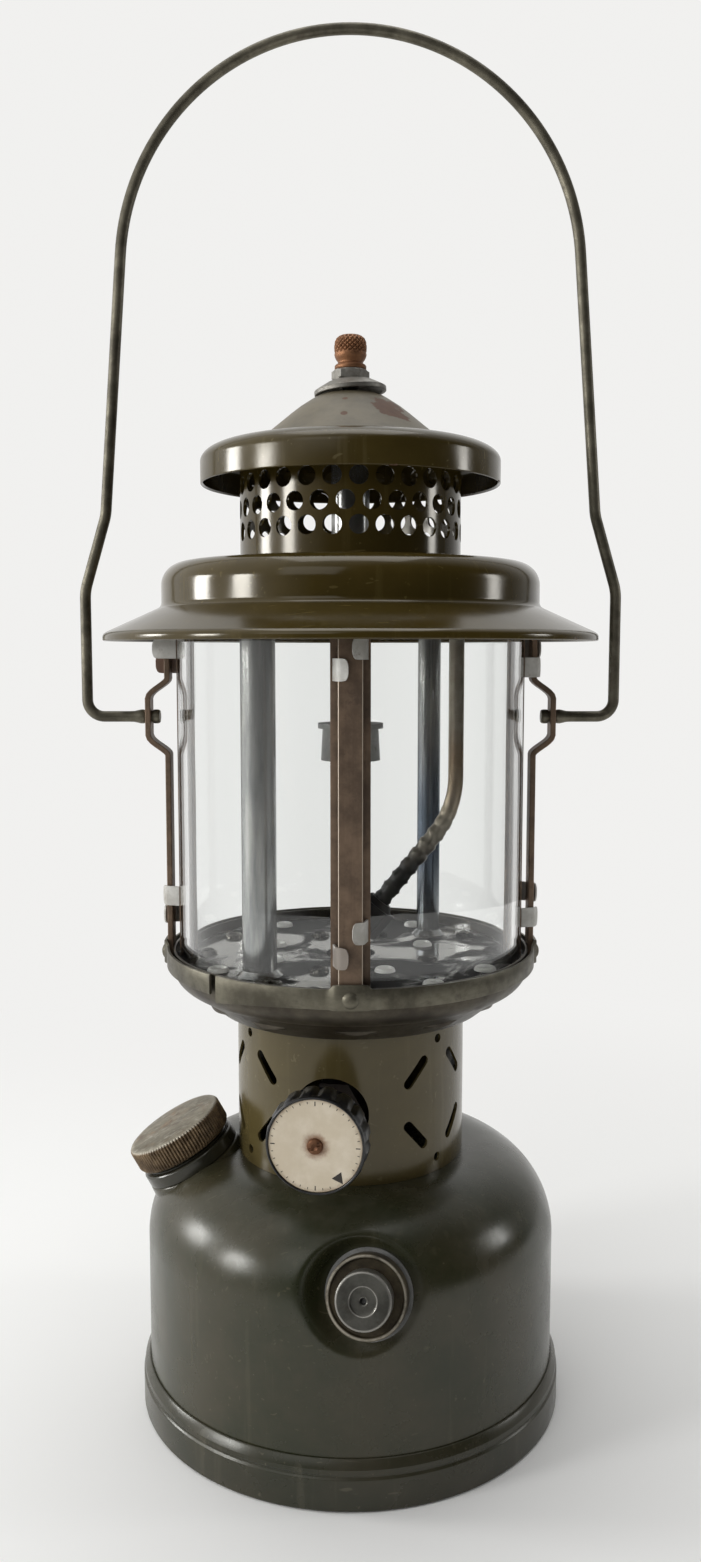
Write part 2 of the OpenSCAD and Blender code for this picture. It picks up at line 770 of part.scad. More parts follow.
module air_stem() color(steel) along_pump() translate([0, 0, barrel_end - stem_seat])
    cylinder(d = air_stem_d, h = stem_top - barrel_end + stem_seat);

module plunger_tube() color(steel) along_pump() difference() {
    union() {
        translate([0, 0, plunger_end]) cylinder(d = plunger_d, h = pump_knob_z - plunger_end + knob_socket);
        translate([0, 0, plunger_end]) cylinder(d = collet_d, h = collet_t);
        translate([0, 0, plunger_end - leather_t - retainer_t])
            cylinder(d = stub_d, h = leather_t + retainer_t + stub_in);
    }
    translate([0, 0, plunger_end - through])
        cylinder(d = plunger_bore, h = through - plunger_end + pump_knob_z);
}

module pump_knob() color(steel) along_pump() difference() {
    rotate_extrude() polygon([
        [0, pump_knob_z],
        [pump_knob_d / 2 - knob_edge, pump_knob_z],
        [pump_knob_d / 2, pump_knob_z + knob_edge],
        [pump_knob_d / 2, pump_knob_z + pump_knob_h - knob_edge],
        [pump_knob_d / 2 - knob_edge, pump_knob_z + pump_knob_h],
        [0, pump_knob_z + pump_knob_h]]);
    translate([0, 0, pump_knob_z - over]) cylinder(d = plunger_d + 2 * seam, h = knob_socket + seam + over);
    translate([0, 0, pump_knob_z + pump_knob_h - knob_sink])
        cylinder(d = pump_knob_ring_d, h = knob_sink + over);
    translate([0, 0, pump_knob_z]) cylinder(d = pump_knob_hole_d, h = pump_knob_h + over);
}

module pump_leather() color(leather) along_pump() rotate_extrude() polygon([
    [stub_d / 2 + seam, plunger_end - seam],
    [barrel_in - leather_bevel, plunger_end - seam],
    [barrel_in - fit, plunger_end - leather_t],
    [barrel_in - fit, plunger_end - leather_skirt_h],
    [barrel_in - leather_lip, plunger_end - leather_skirt_h],
    [barrel_in - leather_lip, plunger_end - leather_t],
    [stub_d / 2 + seam, plunger_end - leather_t]]);

module leather_retainer() color(brass) along_pump()
    translate([0, 0, plunger_end - leather_t - seam - retainer_t])
        ring(retainer_d / 2, stub_d / 2 + seam, retainer_t);

module fuel_pickup() color(brass) translate([0, 0, floor_h + floor_rise + pickup_foot])
    ring(pickup_d / 2, pickup_d / 2 - pickup_wall, pickup_top - floor_h - floor_rise - pickup_foot);

// Straight slot with round ends, cut through the collar's front wall
module collar_slot(lean)
    rotate([90, 0, 0]) linear_extrude(collar_r + over) rotate(lean) union() {
        square([slot_len - slot_w, slot_w], center = true);
        for (end = [-1, 1])
            translate([end * (slot_len - slot_w) / 2, 0]) circle(d = slot_w);
    }

// Four slots in a diamond, with a small hole above and below
module slot_group() translate([0, 0, slot_z]) {
    for (side = [-1, 1], level = [-1, 1])
        rotate([0, 0, side * slot_off / collar_r * 180 / PI])
            translate([0, 0, level * slot_rise]) collar_slot(-side * level * slot_lean);
    for (level = [-1, 1])
        radial_hole(pin_hole_d, level * pin_hole_off, collar_r / 2, collar_r + over);
}

module collar() color(olive) difference() {
    translate([0, 0, collar_z]) cylinder(r = collar_r, h = collar_top - collar_z);
    cylinder(r = collar_r - sheet, h = collar_top + over);
    for (group = [-slot_group_az, slot_group_az, 180])
        rotate([0, 0, valve_az + slot_turn + group]) slot_group();
    along_valve() translate([0, 0, collar_r / 2]) cylinder(d = valve_hole_d, h = collar_r);
}

module valve_body() color(brass) difference() {
    union() {
        translate([0, 0, fount_h - valve_shank_h]) cylinder(d = valve_shank_d, h = valve_shank_h + 1);
        translate([0, 0, fount_h + seam]) cylinder(d = valve_flange_d, h = valve_flange_t, $fn = hexagon);
        translate([0, 0, fount_h + 1]) cylinder(d = valve_barrel_d, h = valve_barrel_h);
        along_valve() cylinder(d = valve_boss_d, h = valve_boss_reach);
        translate([0, 0, fount_h + valve_barrel_h])
            cylinder(d = riser_d, h = generator_z - fount_h - valve_barrel_h);
        translate([0, 0, generator_z]) sphere(d = riser_d);
        along_outlet() cylinder(d = outlet_d, h = generator_seat + outlet_len);
    }
    along_valve() translate([0, 0, stem_in]) cylinder(d = stem_d + 2 * fit, h = valve_boss_reach);
    translate([0, 0, fount_h - valve_shank_h - over])
        cylinder(d = pickup_d + 2 * seam, h = valve_shank_h - pickup_gap + over);
    along_outlet() translate([0, 0, generator_seat]) cylinder(d = generator_d + 2 * seam, h = through);
}

module packing_nut() color(brass) along_valve() translate([0, 0, valve_boss_reach + seam]) difference() {
    cylinder(d = packing_nut_d, h = packing_nut_t, $fn = hexagon);
    translate([0, 0, -over]) cylinder(d = stem_d + 2 * fit, h = packing_nut_t + 2 * over);
}

module valve_stem() color(brass) along_valve() difference() {
    translate([0, 0, stem_in + pass]) union() {
        cylinder(d1 = needle_d, d2 = stem_d, h = needle_len);
        translate([0, 0, needle_len]) cylinder(d = stem_d, h = stem_end - stem_in - pass - needle_len);
    }
    translate([0, 0, wheel_reach - wheel_screw_len - over])
        cylinder(d = wheel_screw_shank_d + 2 * seam, h = wheel_screw_len + 2 * over);
}

module valve_knob() color(black) along_valve() difference() {
    union() {
        translate([0, 0, wheel_back]) cylinder(d1 = wheel_d - 2 * wheel_edge, d2 = wheel_d, h = wheel_edge);
        translate([0, 0, wheel_back + wheel_edge])
            cylinder(d = wheel_d, h = wheel_t - wheel_rim_t - wheel_edge);
        translate([0, 0, wheel_reach - wheel_rim_t]) cylinder(d = wheel_rim_d, h = wheel_rim_t);
        translate([0, 0, wheel_back - hub_len]) cylinder(d = hub_d, h = hub_len + 1);
    }
    for (grip = [0:wheel_grips - 1])
        rotate([0, 0, grip * 360 / wheel_grips])
            translate([(wheel_d + grip_d) / 2 - grip_depth, 0, wheel_back - over])
                cylinder(d = grip_d, h = wheel_t - wheel_rim_t + over);
    translate([0, 0, wheel_back - hub_len - over])
        cylinder(d = stem_d + 2 * seam, h = stem_end - wheel_back + hub_len + over + seam);
    translate([0, 0, stem_end]) cylinder(d = wheel_screw_shank_d + 2 * seam, h = wheel_reach - stem_end);
    translate([0, 0, wheel_reach - dial_sink - dial_t]) cylinder(d = dial_d + 2 * seam, h = through);
}

module knob_dial() color(cream) along_valve() translate([0, 0, wheel_reach - dial_sink - dial_t + seam])
    ring(dial_d / 2, wheel_screw_shank_d / 2 + seam, dial_t);

module knob_screw() color(brass) along_valve() difference() {
    union() {
        translate([0, 0, wheel_reach - dial_sink + 2 * seam])
            cylinder(d1 = wheel_screw_d, d2 = wheel_screw_d - screw_round, h = screw_head_t);
        translate([0, 0, wheel_reach - wheel_screw_len])
            cylinder(d = wheel_screw_shank_d, h = wheel_screw_len);
    }
    translate([-wheel_screw_d, -screw_slot_w / 2, screw_head_top - screw_slot_t])
        cube([2 * wheel_screw_d, screw_slot_w, 2 * screw_slot_t]);
}

// Sheet bowl from the collar out to its upright rim
bowl_line = concat(
    [[collar_r - bowl_seat_w, bowl_z]],
    arc([collar_r + bowl_flare_r, bowl_z + bowl_flare_r], bowl_flare_r, bowl_flare_r,
        270, bowl_flare_end, 5),
    arc([bowl_rim_r - bowl_roll_w, band_z], bowl_roll_w, bowl_roll_h, -70, 0, 10),
    [[bowl_rim_r, bowl_rim_top]]);

module globe_bowl() color(bronze) difference() {
    spun_sheet(bowl_line, sheet);
    for (post = quarters)
        rotate([0, 0, post]) rivet_hole(foot_rivet_z, bowl_rim_r / 2, bowl_rim_r + over);
}

module air_hole()
    translate([0, 0, plate_z - over - plate_t]) cylinder(d = air_hole_d, h = plate_t + 2 * over);

module burner_plate() color(bronze) difference() {
    union() {
        translate([0, 0, plate_z - plate_t]) cylinder(r = plate_r, h = plate_t);
        translate([0, 0, plate_leg_z])
            ring(plate_leg_r, plate_leg_r - sheet, plate_z - plate_t / 2 - plate_leg_z);
    }
    cylinder(d = plate_hole_d, h = plate_z + over);
    for (hole = [0:inner_holes - 1])
        rotate([0, 0, burner_az + (hole + 0.5) * 360 / inner_holes])
            translate([0, -inner_holes_r, 0]) air_hole();
    for (hole = [0:outer_holes - 1])
        rotate([0, 0, burner_az + (hole + 0.5) * 360 / outer_holes])
            translate([0, -outer_holes_r, 0]) air_hole();
}

// Upright tube with a flared foot on the plate
module burner_tube(d) difference() {
    union() {
        translate([0, 0, tube_foot_z]) cylinder(d = d, h = manifold_z - tube_foot_z - socket_gap);
        translate([0, 0, tube_foot_z]) cylinder(d1 = d + tube_foot_d, d2 = d, h = tube_foot_t);
    }
    translate([0, 0, plate_z - over]) cylinder(d = d - 2 * tube_wall, h = manifold_h);
}

module air_tube() color(steel) at_burner(0) burner_tube(air_tube_d);
module support_tube() color(steel) at_burner(180) burner_tube(support_tube_d);

module tube_socket(d)
    translate([0, 0, manifold_z - socket_h]) cylinder(d = d + 2 * socket_wall, h = socket_h);
module tube_bore(d)
    translate([0, 0, manifold_z - socket_h - over])
        cylinder(d = d + 2 * seam, h = socket_h + over - socket_gap + seam);

module manifold() color(steel) difference() {
    union() {
        rotate([0, 0, burner_az]) translate([0, tube_off, manifold_z]) rotate([90, 0, 0])
            cylinder(d = manifold_d, h = 2 * tube_off);
        for (turn = [0, 180])
            at_burner(turn) translate([0, 0, manifold_z]) sphere(d = manifold_d);
        at_burner(0) tube_socket(air_tube_d);
        at_burner(180) tube_socket(support_tube_d);
        translate([0, 0, burner_cap_top - burner_flange_t])
            cylinder(d = down_pipe_d, h = center_top - burner_cap_top + burner_flange_t);
        translate([0, 0, manifold_z]) rotate([0, 90, 0]) cylinder(d = jet_boss_d, h = jet_boss_end);
    }
    at_burner(0) tube_bore(air_tube_d);
    at_burner(180) tube_bore(support_tube_d);
    translate([0, 0, burner_cap_top - burner_flange_t - over])
        cylinder(d = manifold_bore, h = manifold_z - burner_cap_top + burner_flange_t);
    rotate([0, 0, burner_az]) translate([0, 0, manifold_z]) rotate([90, 0, 0])
        cylinder(d = manifold_bore - 2 * seam, h = tube_off);
    translate([jet_end, 0, manifold_z]) rotate([0, 90, 0])
        cylinder(d = generator_d + 2 * seam, h = jet_len + over);
    translate([0, 0, center_top - stud_len_in - seam])
        cylinder(d = stud_d + 2 * seam, h = stud_len_in + over);
}

module burner_cap() color(steel) difference() {
    union() {
        translate([0, 0, burner_cap_top - burner_cap_h])
            cylinder(d1 = burner_cap_d, d2 = burner_cap_d - 1, h = burner_cap_h - burner_flange_t + seam);
        translate([0, 0, burner_cap_top - burner_flange_t])
            cylinder(d = burner_cap_d + 2 * burner_flange_out, h = burner_flange_t);
    }
    translate([0, 0, burner_cap_top - burner_cap_h - over])
        cylinder(d = burner_cap_d - 2 * burner_cap_wall, h = burner_cap_h - burner_flange_t + over - seam);
    translate([0, 0, burner_cap_top - burner_flange_t - over])
        cylinder(d = down_pipe_d + 2 * seam, h = burner_flange_t + 2 * over);
}

// Path of the generator: out of the outlet, up beside the mantle and over to the jet
generator_elbow = [generator_off, generator_z + generator_off / tan(generator_lean)];
generator_line = [[0, generator_z] + (generator_seat + seam) * [sin(generator_lean), cos(generator_lean)],
    generator_elbow, [generator_off, manifold_z], [jet_end + jet_gap, manifold_z]];
generator_bends = [0, generator_bend, generator_top_bend, 0];

module generator_tube() color(steel) bent_wire(generator_line, generator_bends, generator_d / 2);

module generator_nut() color(bronze) along_outlet() translate([0, 0, generator_seat]) difference() {
    union() {
        cylinder(d = generator_nut_d, h = generator_nut_h, $fn = hexagon);
        translate([0, 0, generator_nut_h])
            cylinder(d1 = generator_nut_d - nut_cone, d2 = generator_d + nut_cone, h = nut_cone_h);
    }
    translate([0, 0, -over]) cylinder(d = outlet_d + 2 * seam, h = outlet_len + over + seam);
    translate([0, 0, -over]) cylinder(d = generator_d + 2 * seam, h = through);
}

module gas_tip() color(brass) translate([jet_end + jet_play, 0, manifold_z]) rotate([0, 90, 0])
    cylinder(d1 = jet_tip_d, d2 = generator_d - jet_play, h = jet_gap - jet_play - seam);

module center_stud() color(steel) translate([0, 0, center_top - stud_len_in])
    cylinder(d = stud_d, h = stud_top - center_top + stud_len_in);

// Outside line of the hood, from the brim's edge to the chimney's hole
hood_line = concat(
    [[brim_r, hood_z - brim_fall - brim_roll_h - brim_lip]],
    arc([brim_r - brim_roll_w, hood_z - brim_fall - brim_roll_h], brim_roll_w, brim_roll_h,
        0, brim_roll_end, 8),
    arc([hood_r + brim_fillet, hood_z + brim_fillet], brim_fillet, brim_fillet, brim_fillet_end, 180, 6),
    arc([hood_r - hood_edge_r, hood_top - hood_edge_r], hood_edge_r, hood_edge_r, 0, 90, 10),
    [[chimney_r - sheet, hood_top]]);

module ventilator_hood() color(enamel) spun_sheet(hood_line, sheet);

module ventilator_chimney() color(enamel) difference() {
    union() {
        translate([0, 0, hood_top + seam]) cylinder(r = chimney_r, h = chimney_top - hood_top - seam);
        translate([0, 0, hood_top + seam]) cylinder(r = chimney_r + chimney_flange, h = sheet);
    }
    translate([0, 0, hood_top - over])
        cylinder(r = chimney_r - sheet, h = chimney_top - hood_top + 2 * over);
    for (row = [0:vent_rows - 1], hole = [0:vent_holes - 1])
        rotate([0, 0, vent_az + (hole + (row % 2) / 2) * 360 / vent_holes])
            radial_hole(vent_hole_d, hood_top + vent_row_h + row * vent_row_pitch,
                chimney_r - 2 * sheet, chimney_r + over);
}

// Outside line of the cap, from its edge to the stud's hole
vent_cap_line = concat(
    [[vent_cap_r, cap_edge_z]],
    arc([roll_in, roll_z], vent_cap_roll_w, vent_cap_roll_h, 0, 86, 12),
    [[cone_foot_d / 2, cone_z], [cone_top_d / 2, cone_top], [stud_hole_d / 2, cone_top]]);

module ventilator_cap() color(enamel) spun_sheet(vent_cap_line, sheet);

module top_washer() color(steel) translate([0, 0, washer_z]) rotate([0, -washer_tilt, 0])
    spun_sheet([[washer_d / 2, 0], [washer_d / 2, washer_t], [lock_nut_d / 2 + washer_flat, washer_h],
        [stud_hole_d / 2 + washer_play, washer_h]], washer_t);

module lock_nut() color(tin_grey) translate([0, 0, lock_nut_z]) difference() {
    cylinder(d = lock_nut_d, h = lock_nut_h, $fn = hexagon);
    translate([0, 0, -over]) cylinder(d = stud_d + 2 * fit, h = lock_nut_h + 2 * over);
}

module ball_nut() color(brass) difference() {
    union() {
        translate([0, 0, ball_z]) cylinder(d = ball_foot_d, h = ball_foot_t);
        translate([0, 0, ball_z]) cylinder(d = ball_neck_d, h = ball_h / 2);
        intersection() {
            translate([0, 0, ball_c]) sphere(d = ball_d);
            translate([0, 0, ball_z]) cylinder(d = 2 * ball_d, h = ball_h);
        }
    }
    translate([0, 0, ball_z - over]) cylinder(d = stud_d + 2 * fit, h = stud_top - ball_z + pass + over);
}

// Folded foot of the band over a post
module band_foot() difference() {
    translate([-foot_w / 2, -post_out - pass - sheet, band_z])
        cube([foot_w, post_out + pass + sheet - band_in, foot_h]);
    translate([sheet - foot_w / 2, -post_out - pass, band_z - over])
        cube([foot_w - 2 * sheet, post_out, foot_h + 2 * over]);
}

module cage_band() color(bronze) difference() {
    union() {
        difference() {
            translate([0, 0, band_z]) ring(band_out, band_in, band_h);
            for (post = quarters)
                rotate([0, 0, post]) translate([sheet - foot_w / 2, -band_out - over, band_z - over])
                    cube([foot_w - 2 * sheet, through, band_h + 2 * over]);
            rotate([0, 0, band_gap_az]) translate([-band_gap / 2, -band_out - over, band_z - over])
                cube([band_gap, through, band_h + 2 * over]);
        }
        for (post = quarters) rotate([0, 0, post]) band_foot();
    }
    for (post = quarters)
        rotate([0, 0, post]) rivet_hole(foot_rivet_z, post_in, post_in + through);
}

module cage_top_ring() color(bronze) difference() {
    translate([0, 0, top_ring_top - top_ring_h]) ring(top_ring_out, top_ring_in, top_ring_h);
    for (post = quarters)
        rotate([0, 0, post]) rivet_hole(head_rivet_z, top_ring_in - over, top_ring_out + over);
}

// Strap post at the front, with its two rivet holes
module post(line) difference() {
    on_front(post_w) polygon(concat(line, reversed(beside(line, -post_t))));
    for (z = [foot_rivet_z, head_rivet_z])
        rivet_hole(z, post_in - over, post_out + over);
}

// Strap post that jogs out for the bail
module ear_post() difference() {
    post(ear_line);
    radial_hole(pivot_hole_d, pivot_z, post_in, ear_face + over);
}

plain_line = [[post_in, band_z], [post_in, post_top]];
ear_line = [[post_in, band_z],
    [post_in, pivot_z - ear_flat / 2 - ear_slope],
    [ear_in, pivot_z - ear_flat / 2],
    [ear_in, pivot_z + ear_flat / 2],
    [post_in, pivot_z + ear_flat / 2 + ear_slope],
    [post_in, post_top]];

module cage_post_front() color(bronze) post(plain_line);
module cage_post_back() color(bronze) rotate([0, 0, 180]) post(plain_line);
module cage_post_left() color(bronze) rotate([0, 0, -90]) ear_post();
module cage_post_right() color(bronze) rotate([0, 0, 90]) ear_post();

// Pane to the right of the front post
module pane() color(glass) intersection() {
    translate([0, 0, glass_z]) ring(globe_r, globe_r - glass_t, glass_h);
    translate([glass_edge, -globe_r - over - glass_edge, plate_z])
        cube([globe_r + over, globe_r + over, glass_h + over]);
}

module glass_panel_front_right() pane();
module glass_panel_back_right() rotate([0, 0, 90]) pane();
module glass_panel_back_left() rotate([0, 0, 180]) pane();
module glass_panel_front_left() rotate([0, 0, 270]) pane();

// Tab that leaves the edge strip beside the post and folds over the post's face
tab_root = strip_edge + strip_w - tin;
tab_bend = post_w / 2 + pass;
tab_outline = [[tab_root, tin - strip_out], [tab_bend, -post_out - pass],
    [tab_bend - tab_reach, -post_out - pass - tab_lift]];
module tab(z) translate([0, 0, z - tab_h / 2]) intersection() {
    linear_extrude(tab_h) polygon(concat(tab_outline, reversed(beside(tab_outline, tin))));
    translate([0, 0, tab_h / 2]) rotate([90, 0, 0]) linear_extrude(2 * post_out) union() {
        translate([tab_bend - tab_reach + tab_h / 2 - 1, -tab_h / 2]) square([2 * tab_h, tab_h]);
        translate([tab_bend - tab_reach + tab_h / 2 - 1, 0]) circle(d = tab_h);
    }
}

// Edge strip of the pane to the right of the front post, with its two tabs
module edge_strip(low, high) {
    difference() {
        intersection() {
            translate([0, 0, glass_z]) ring(strip_out, strip_in, glass_h);
            translate([strip_edge, -2 * globe_r, plate_z]) cube([strip_w, 2 * globe_r, glass_h + over]);
        }
        intersection() {
            translate([0, 0, plate_z - over]) ring(strip_out - tin, strip_in + tin, glass_h + through);
            translate([strip_edge + tin, -2 * globe_r, plate_z - over])
                cube([strip_w, 2 * globe_r, glass_h + through]);
        }
    }
    tab(band_z + low);
    tab(band_z + high);
}

// Both edge strips of the pane to the right of the front post
module pane_frame() color(tin_grey) {
    edge_strip(tab_left_low, tab_left_high);
    rotate([0, 0, 90]) mirror([1, 0, 0]) edge_strip(tab_right_low, tab_right_high);
}

module pane_frame_front_right() pane_frame();
module pane_frame_back_right() rotate([0, 0, 90]) pane_frame();
module pane_frame_back_left() rotate([0, 0, 180]) pane_frame();
module pane_frame_front_left() rotate([0, 0, 270]) pane_frame();

// Rivet through the front from r_in, with its head outside r_out
module rivet(z, r_in, r_out) {
    radial_hole(rivet_shank_d, z, r_in, r_out + rivet_head_t / 2);
    translate([0, -r_out, z]) rotate([90, 0, 0])
        cylinder(d1 = rivet_d, d2 = rivet_d - rivet_round, h = rivet_head_t);
}

module post_rivets() color(bronze) for (post = quarters) rotate([0, 0, post]) {
    rivet(foot_rivet_z, bowl_rim_r - sheet, post_out + pass + sheet + seam);
    rivet(head_rivet_z, top_ring_in, post_out + seam);
}

// Upset collars on the wire, inside and outside an ear
module bail_heads() {
    translate([bail_head_end, 0, 0]) rotate([0, 90, 0]) cylinder(d = bail_head_d, h = bail_head_t);
    translate([bail_collar_x, 0, 0]) rotate([0, 90, 0])
        cylinder(d1 = bail_head_d, d2 = wire_d, h = bail_collar_t);
}

module bail() color(bronze) translate([0, 0, pivot_z]) {
    for (side = [0, 1]) mirror([side, 0, 0]) {
        bent_wire(bail_leg, bail_bends, wire_r);
        weld(bail_leg[len(bail_leg) - 1], [-sin(arch_start), cos(arch_start)], wire_r);
        bail_heads();
    }
    curved_wire(arch_c, bail_arch_r, arch_start, 180 - 2 * arch_start, wire_r);
}

fount_shell();
base_skirt();
fount_bottom();
filler_neck();
filler_gasket();
filler_cap();
pump_barrel();
pump_cap();
check_valve();
air_stem();
plunger_tube();
pump_knob();
pump_leather();
leather_retainer();
fuel_pickup();
collar();
valve_body();
packing_nut();
valve_stem();
valve_knob();
knob_dial();
knob_screw();
globe_bowl();
burner_plate();
air_tube();
support_tube();
manifold();
burner_cap();
generator_tube();
generator_nut();
gas_tip();
center_stud();
ventilator_hood();
ventilator_chimney();
ventilator_cap();
top_washer();
lock_nut();
ball_nut();
cage_band();
cage_top_ring();
cage_post_front();
cage_post_back();
cage_post_left();
cage_post_right();
glass_panel_front_left();
glass_panel_front_right();
glass_panel_back_left();
glass_panel_back_right();
pane_frame_front_left();
pane_frame_front_right();
pane_frame_back_left();
pane_frame_back_right();
post_rivets();
bail();
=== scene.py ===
"""Looks of the pressure lantern: smooth spun metal, knurls, glass, paint, wear, light and camera."""
import math

import bmesh
import bpy
from mathutils import Matrix, Vector


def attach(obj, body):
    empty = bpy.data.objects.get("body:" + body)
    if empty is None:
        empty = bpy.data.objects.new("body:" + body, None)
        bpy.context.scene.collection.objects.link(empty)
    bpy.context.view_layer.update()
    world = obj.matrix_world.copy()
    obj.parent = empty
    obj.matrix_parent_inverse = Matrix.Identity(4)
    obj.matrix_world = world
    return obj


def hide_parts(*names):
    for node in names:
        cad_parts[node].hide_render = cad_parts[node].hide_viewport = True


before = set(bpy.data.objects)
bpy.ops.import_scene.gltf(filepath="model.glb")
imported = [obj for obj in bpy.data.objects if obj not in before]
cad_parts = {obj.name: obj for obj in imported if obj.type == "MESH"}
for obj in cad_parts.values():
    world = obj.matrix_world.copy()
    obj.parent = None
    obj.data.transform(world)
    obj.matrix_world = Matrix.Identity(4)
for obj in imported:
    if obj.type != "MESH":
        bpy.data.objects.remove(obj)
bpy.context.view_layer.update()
MM = 0.001
TURN = 2 * math.pi
sin, cos, rad = math.sin, math.cos, math.radians

# Shapes: everything is drawn in millimetres in the shared frame

ON_AXIS, WELD, MITRE_LIMIT = 1e-6, 0.002, 0.2
LEAST_TURN, MOST_OF_SIDE = rad(12), 0.45


def spot(r, a, z):
    """Point at a radius, an angle from the front in radians, and a height."""
    return (r * sin(a), -r * cos(a), z)


def unit(x, y):
    n = math.hypot(x, y)
    return (x / n, y / n)


def smooth(u):
    """Goes from 0 to 1 with u, with level ends."""
    u = max(0, min(1, u))
    return u * u * (3 - 2 * u)


def circle(seg):
    return [TURN * k / seg for k in range(seg)]


def arc(cx, cy, rx, ry, start, end, steps):
    turns = [rad(start + (end - start) * i / steps) for i in range(steps + 1)]
    return [(cx + rx * cos(a), cy + ry * sin(a)) for a in turns]


def beside(line, t):
    """The line moved by t to its left, with its corners kept sharp."""
    out = []
    for i, (x, y) in enumerate(line):
        a = unit(x - line[i - 1][0], y - line[i - 1][1]) if i else None
        b = unit(line[i + 1][0] - x, line[i + 1][1] - y) if i < len(line) - 1 else None
        a, b = a or b, b or a
        nx, ny = -(a[1] + b[1]), a[0] + b[0]
        k = max(nx * -a[1] + ny * a[0], MITRE_LIMIT)
        out.append((x + t * nx / k, y + t * ny / k))
    return out


def sheet(line, t):
    """Closed outline of a sheet, t thick to the left of the line."""
    return line + beside(line, t)[::-1]


def rounded(points, r, steps=4):
    """A closed outline with its corners rounded, except on the axis and where it hardly turns."""
    out = []
    for i, p in enumerate(points):
        a, b = points[i - 1], points[(i + 1) % len(points)]
        ua, ub = unit(a[0] - p[0], a[1] - p[1]), unit(b[0] - p[0], b[1] - p[1])
        turn = math.pi - math.acos(max(-1, min(1, ua[0] * ub[0] + ua[1] * ub[1])))
        if p[0] < ON_AXIS or turn < LEAST_TURN:
            out.append(p)
            continue
        t = min(r * math.tan(turn / 2), MOST_OF_SIDE * math.dist(a, p), MOST_OF_SIDE * math.dist(b, p))
        corner = ((p[0] + ua[0] * t, p[1] + ua[1] * t), p, (p[0] + ub[0] * t, p[1] + ub[1] * t))
        for k in range(steps + 1):
            u = k / steps
            weights = ((1 - u) ** 2, 2 * u * (1 - u), u * u)
            out.append(tuple(sum(w * q[c] for w, q in zip(weights, corner)) for c in (0, 1)))
    return out


def skin(loops, ends=True):
    """Joins loops of equally many points in a row. The two ends are closed, or joined to each other."""
    n, k = len(loops), len(loops[0])
    faces = []
    for i in range(n - 1 if ends else n):
        here, there = i * k, (i + 1) % n * k
        faces += [[here + j, here + (j + 1) % k, there + (j + 1) % k, there + j] for j in range(k)]
    if ends:
        faces += [list(range(k))[::-1], list(range(n * k - k, n * k))]
    return [p for loop in loops for p in loop], faces


def prism(outline, z0, z1):
    """An outline in XY, extruded along Z."""
    return skin([[(x, y, z) for x, y in outline] for z in (z0, z1)])


def lathe(profile, seg, closed=True, warp=None):
    """Spins (radius, height) points about Z. warp changes the radius at an angle and height."""
    verts, faces, rings = [], [], []
    for r, z in profile:
        if r < ON_AXIS:
            rings.append([len(verts)] * seg)
            verts.append((0, 0, z))
            continue
        rings.append(list(range(len(verts), len(verts) + seg)))
        verts += [spot(warp(r, z, a) if warp else r, a, z) for a in circle(seg)]
    if closed:
        rings.append(rings[0])
    for lo, hi in zip(rings, rings[1:]):
        for k in range(seg):
            face = list(dict.fromkeys([lo[k], lo[(k + 1) % seg], hi[(k + 1) % seg], hi[k]]))
            if len(face) > 2:
                faces.append(face)
    return verts, faces


def grooves(count, low, high, inner, cut):
    """A warp for lathe: grooves between two heights, outside a radius. cut gives their depth, from the
    middle of a land at 0 to the middle of a groove at 1."""
    def warp(r, z, a):
        if low < z < high and r > inner:
            return r - cut(abs((a * count / TURN) % 1 - 0.5) * 2)
        return r
    return warp


def sweep(path, radius, seg=24):
    """A round wire along points, with closed ends. radius gives its radius at a point."""
    side, loops = Vector((0, 1, 0)), []
    for i, p in enumerate(path):
        d = (path[min(i + 1, len(path) - 1)] - path[max(i - 1, 0)]).normalized()
        u = (side - d * side.dot(d)).normalized()
        v = d.cross(u)
        r = radius(p)
        loops.append([tuple(p + u * r * cos(a) + v * r * sin(a)) for a in circle(seg)])
    return skin(loops)


def bend(points, radii, steps=10):
    """Corner points with each corner turned into an arc."""
    out = [Vector(points[0])]
    for i in range(1, len(points) - 1):
        p = Vector(points[i])
        a, b = (Vector(points[i - 1]) - p).normalized(), (Vector(points[i + 1]) - p).normalized()
        turn = math.pi - a.angle(b)
        t = radii[i] * math.tan(turn / 2)
        c = p + (a + b).normalized() * radii[i] / cos(turn / 2)
        s, e = p + a * t - c, p + b * t - c
        for k in range(steps + 1):
            w = turn * k / steps
            out.append(c + s * (sin(turn - w) / sin(turn)) + e * (sin(w) / sin(turn)))
    out.append(Vector(points[-1]))
    return out


def fine(path, step):
    """Points added along a path so that none is further apart than step."""
    out = [path[0]]
    for a, b in zip(path, path[1:]):
        n = max(1, math.ceil((b - a).length / step))
        out += [a.lerp(b, k / n) for k in range(1, n + 1)]
    return out


def joined(*parts):
    verts, faces = [], []
    for v, f in parts:
        faces += [[i + len(verts) for i in q] for q in f]
        verts += list(v)
    return verts, faces


def moved(shape, m):
    return [tuple(m @ Vector(v)) for v in shape[0]], shape[1]


def turned(shape, deg):
    return moved(shape, Matrix.Rotation(rad(deg), 4, "Z"))


def flipped(shape):
    return [(-x, y, z) for x, y, z in shape[0]], shape[1]


def spun(line, soft, seg, place=Matrix.Identity(4)):
    """A closed outline with its corners rounded by soft, spun and set at a place."""
    return moved(lathe(rounded(line, soft), seg), place)


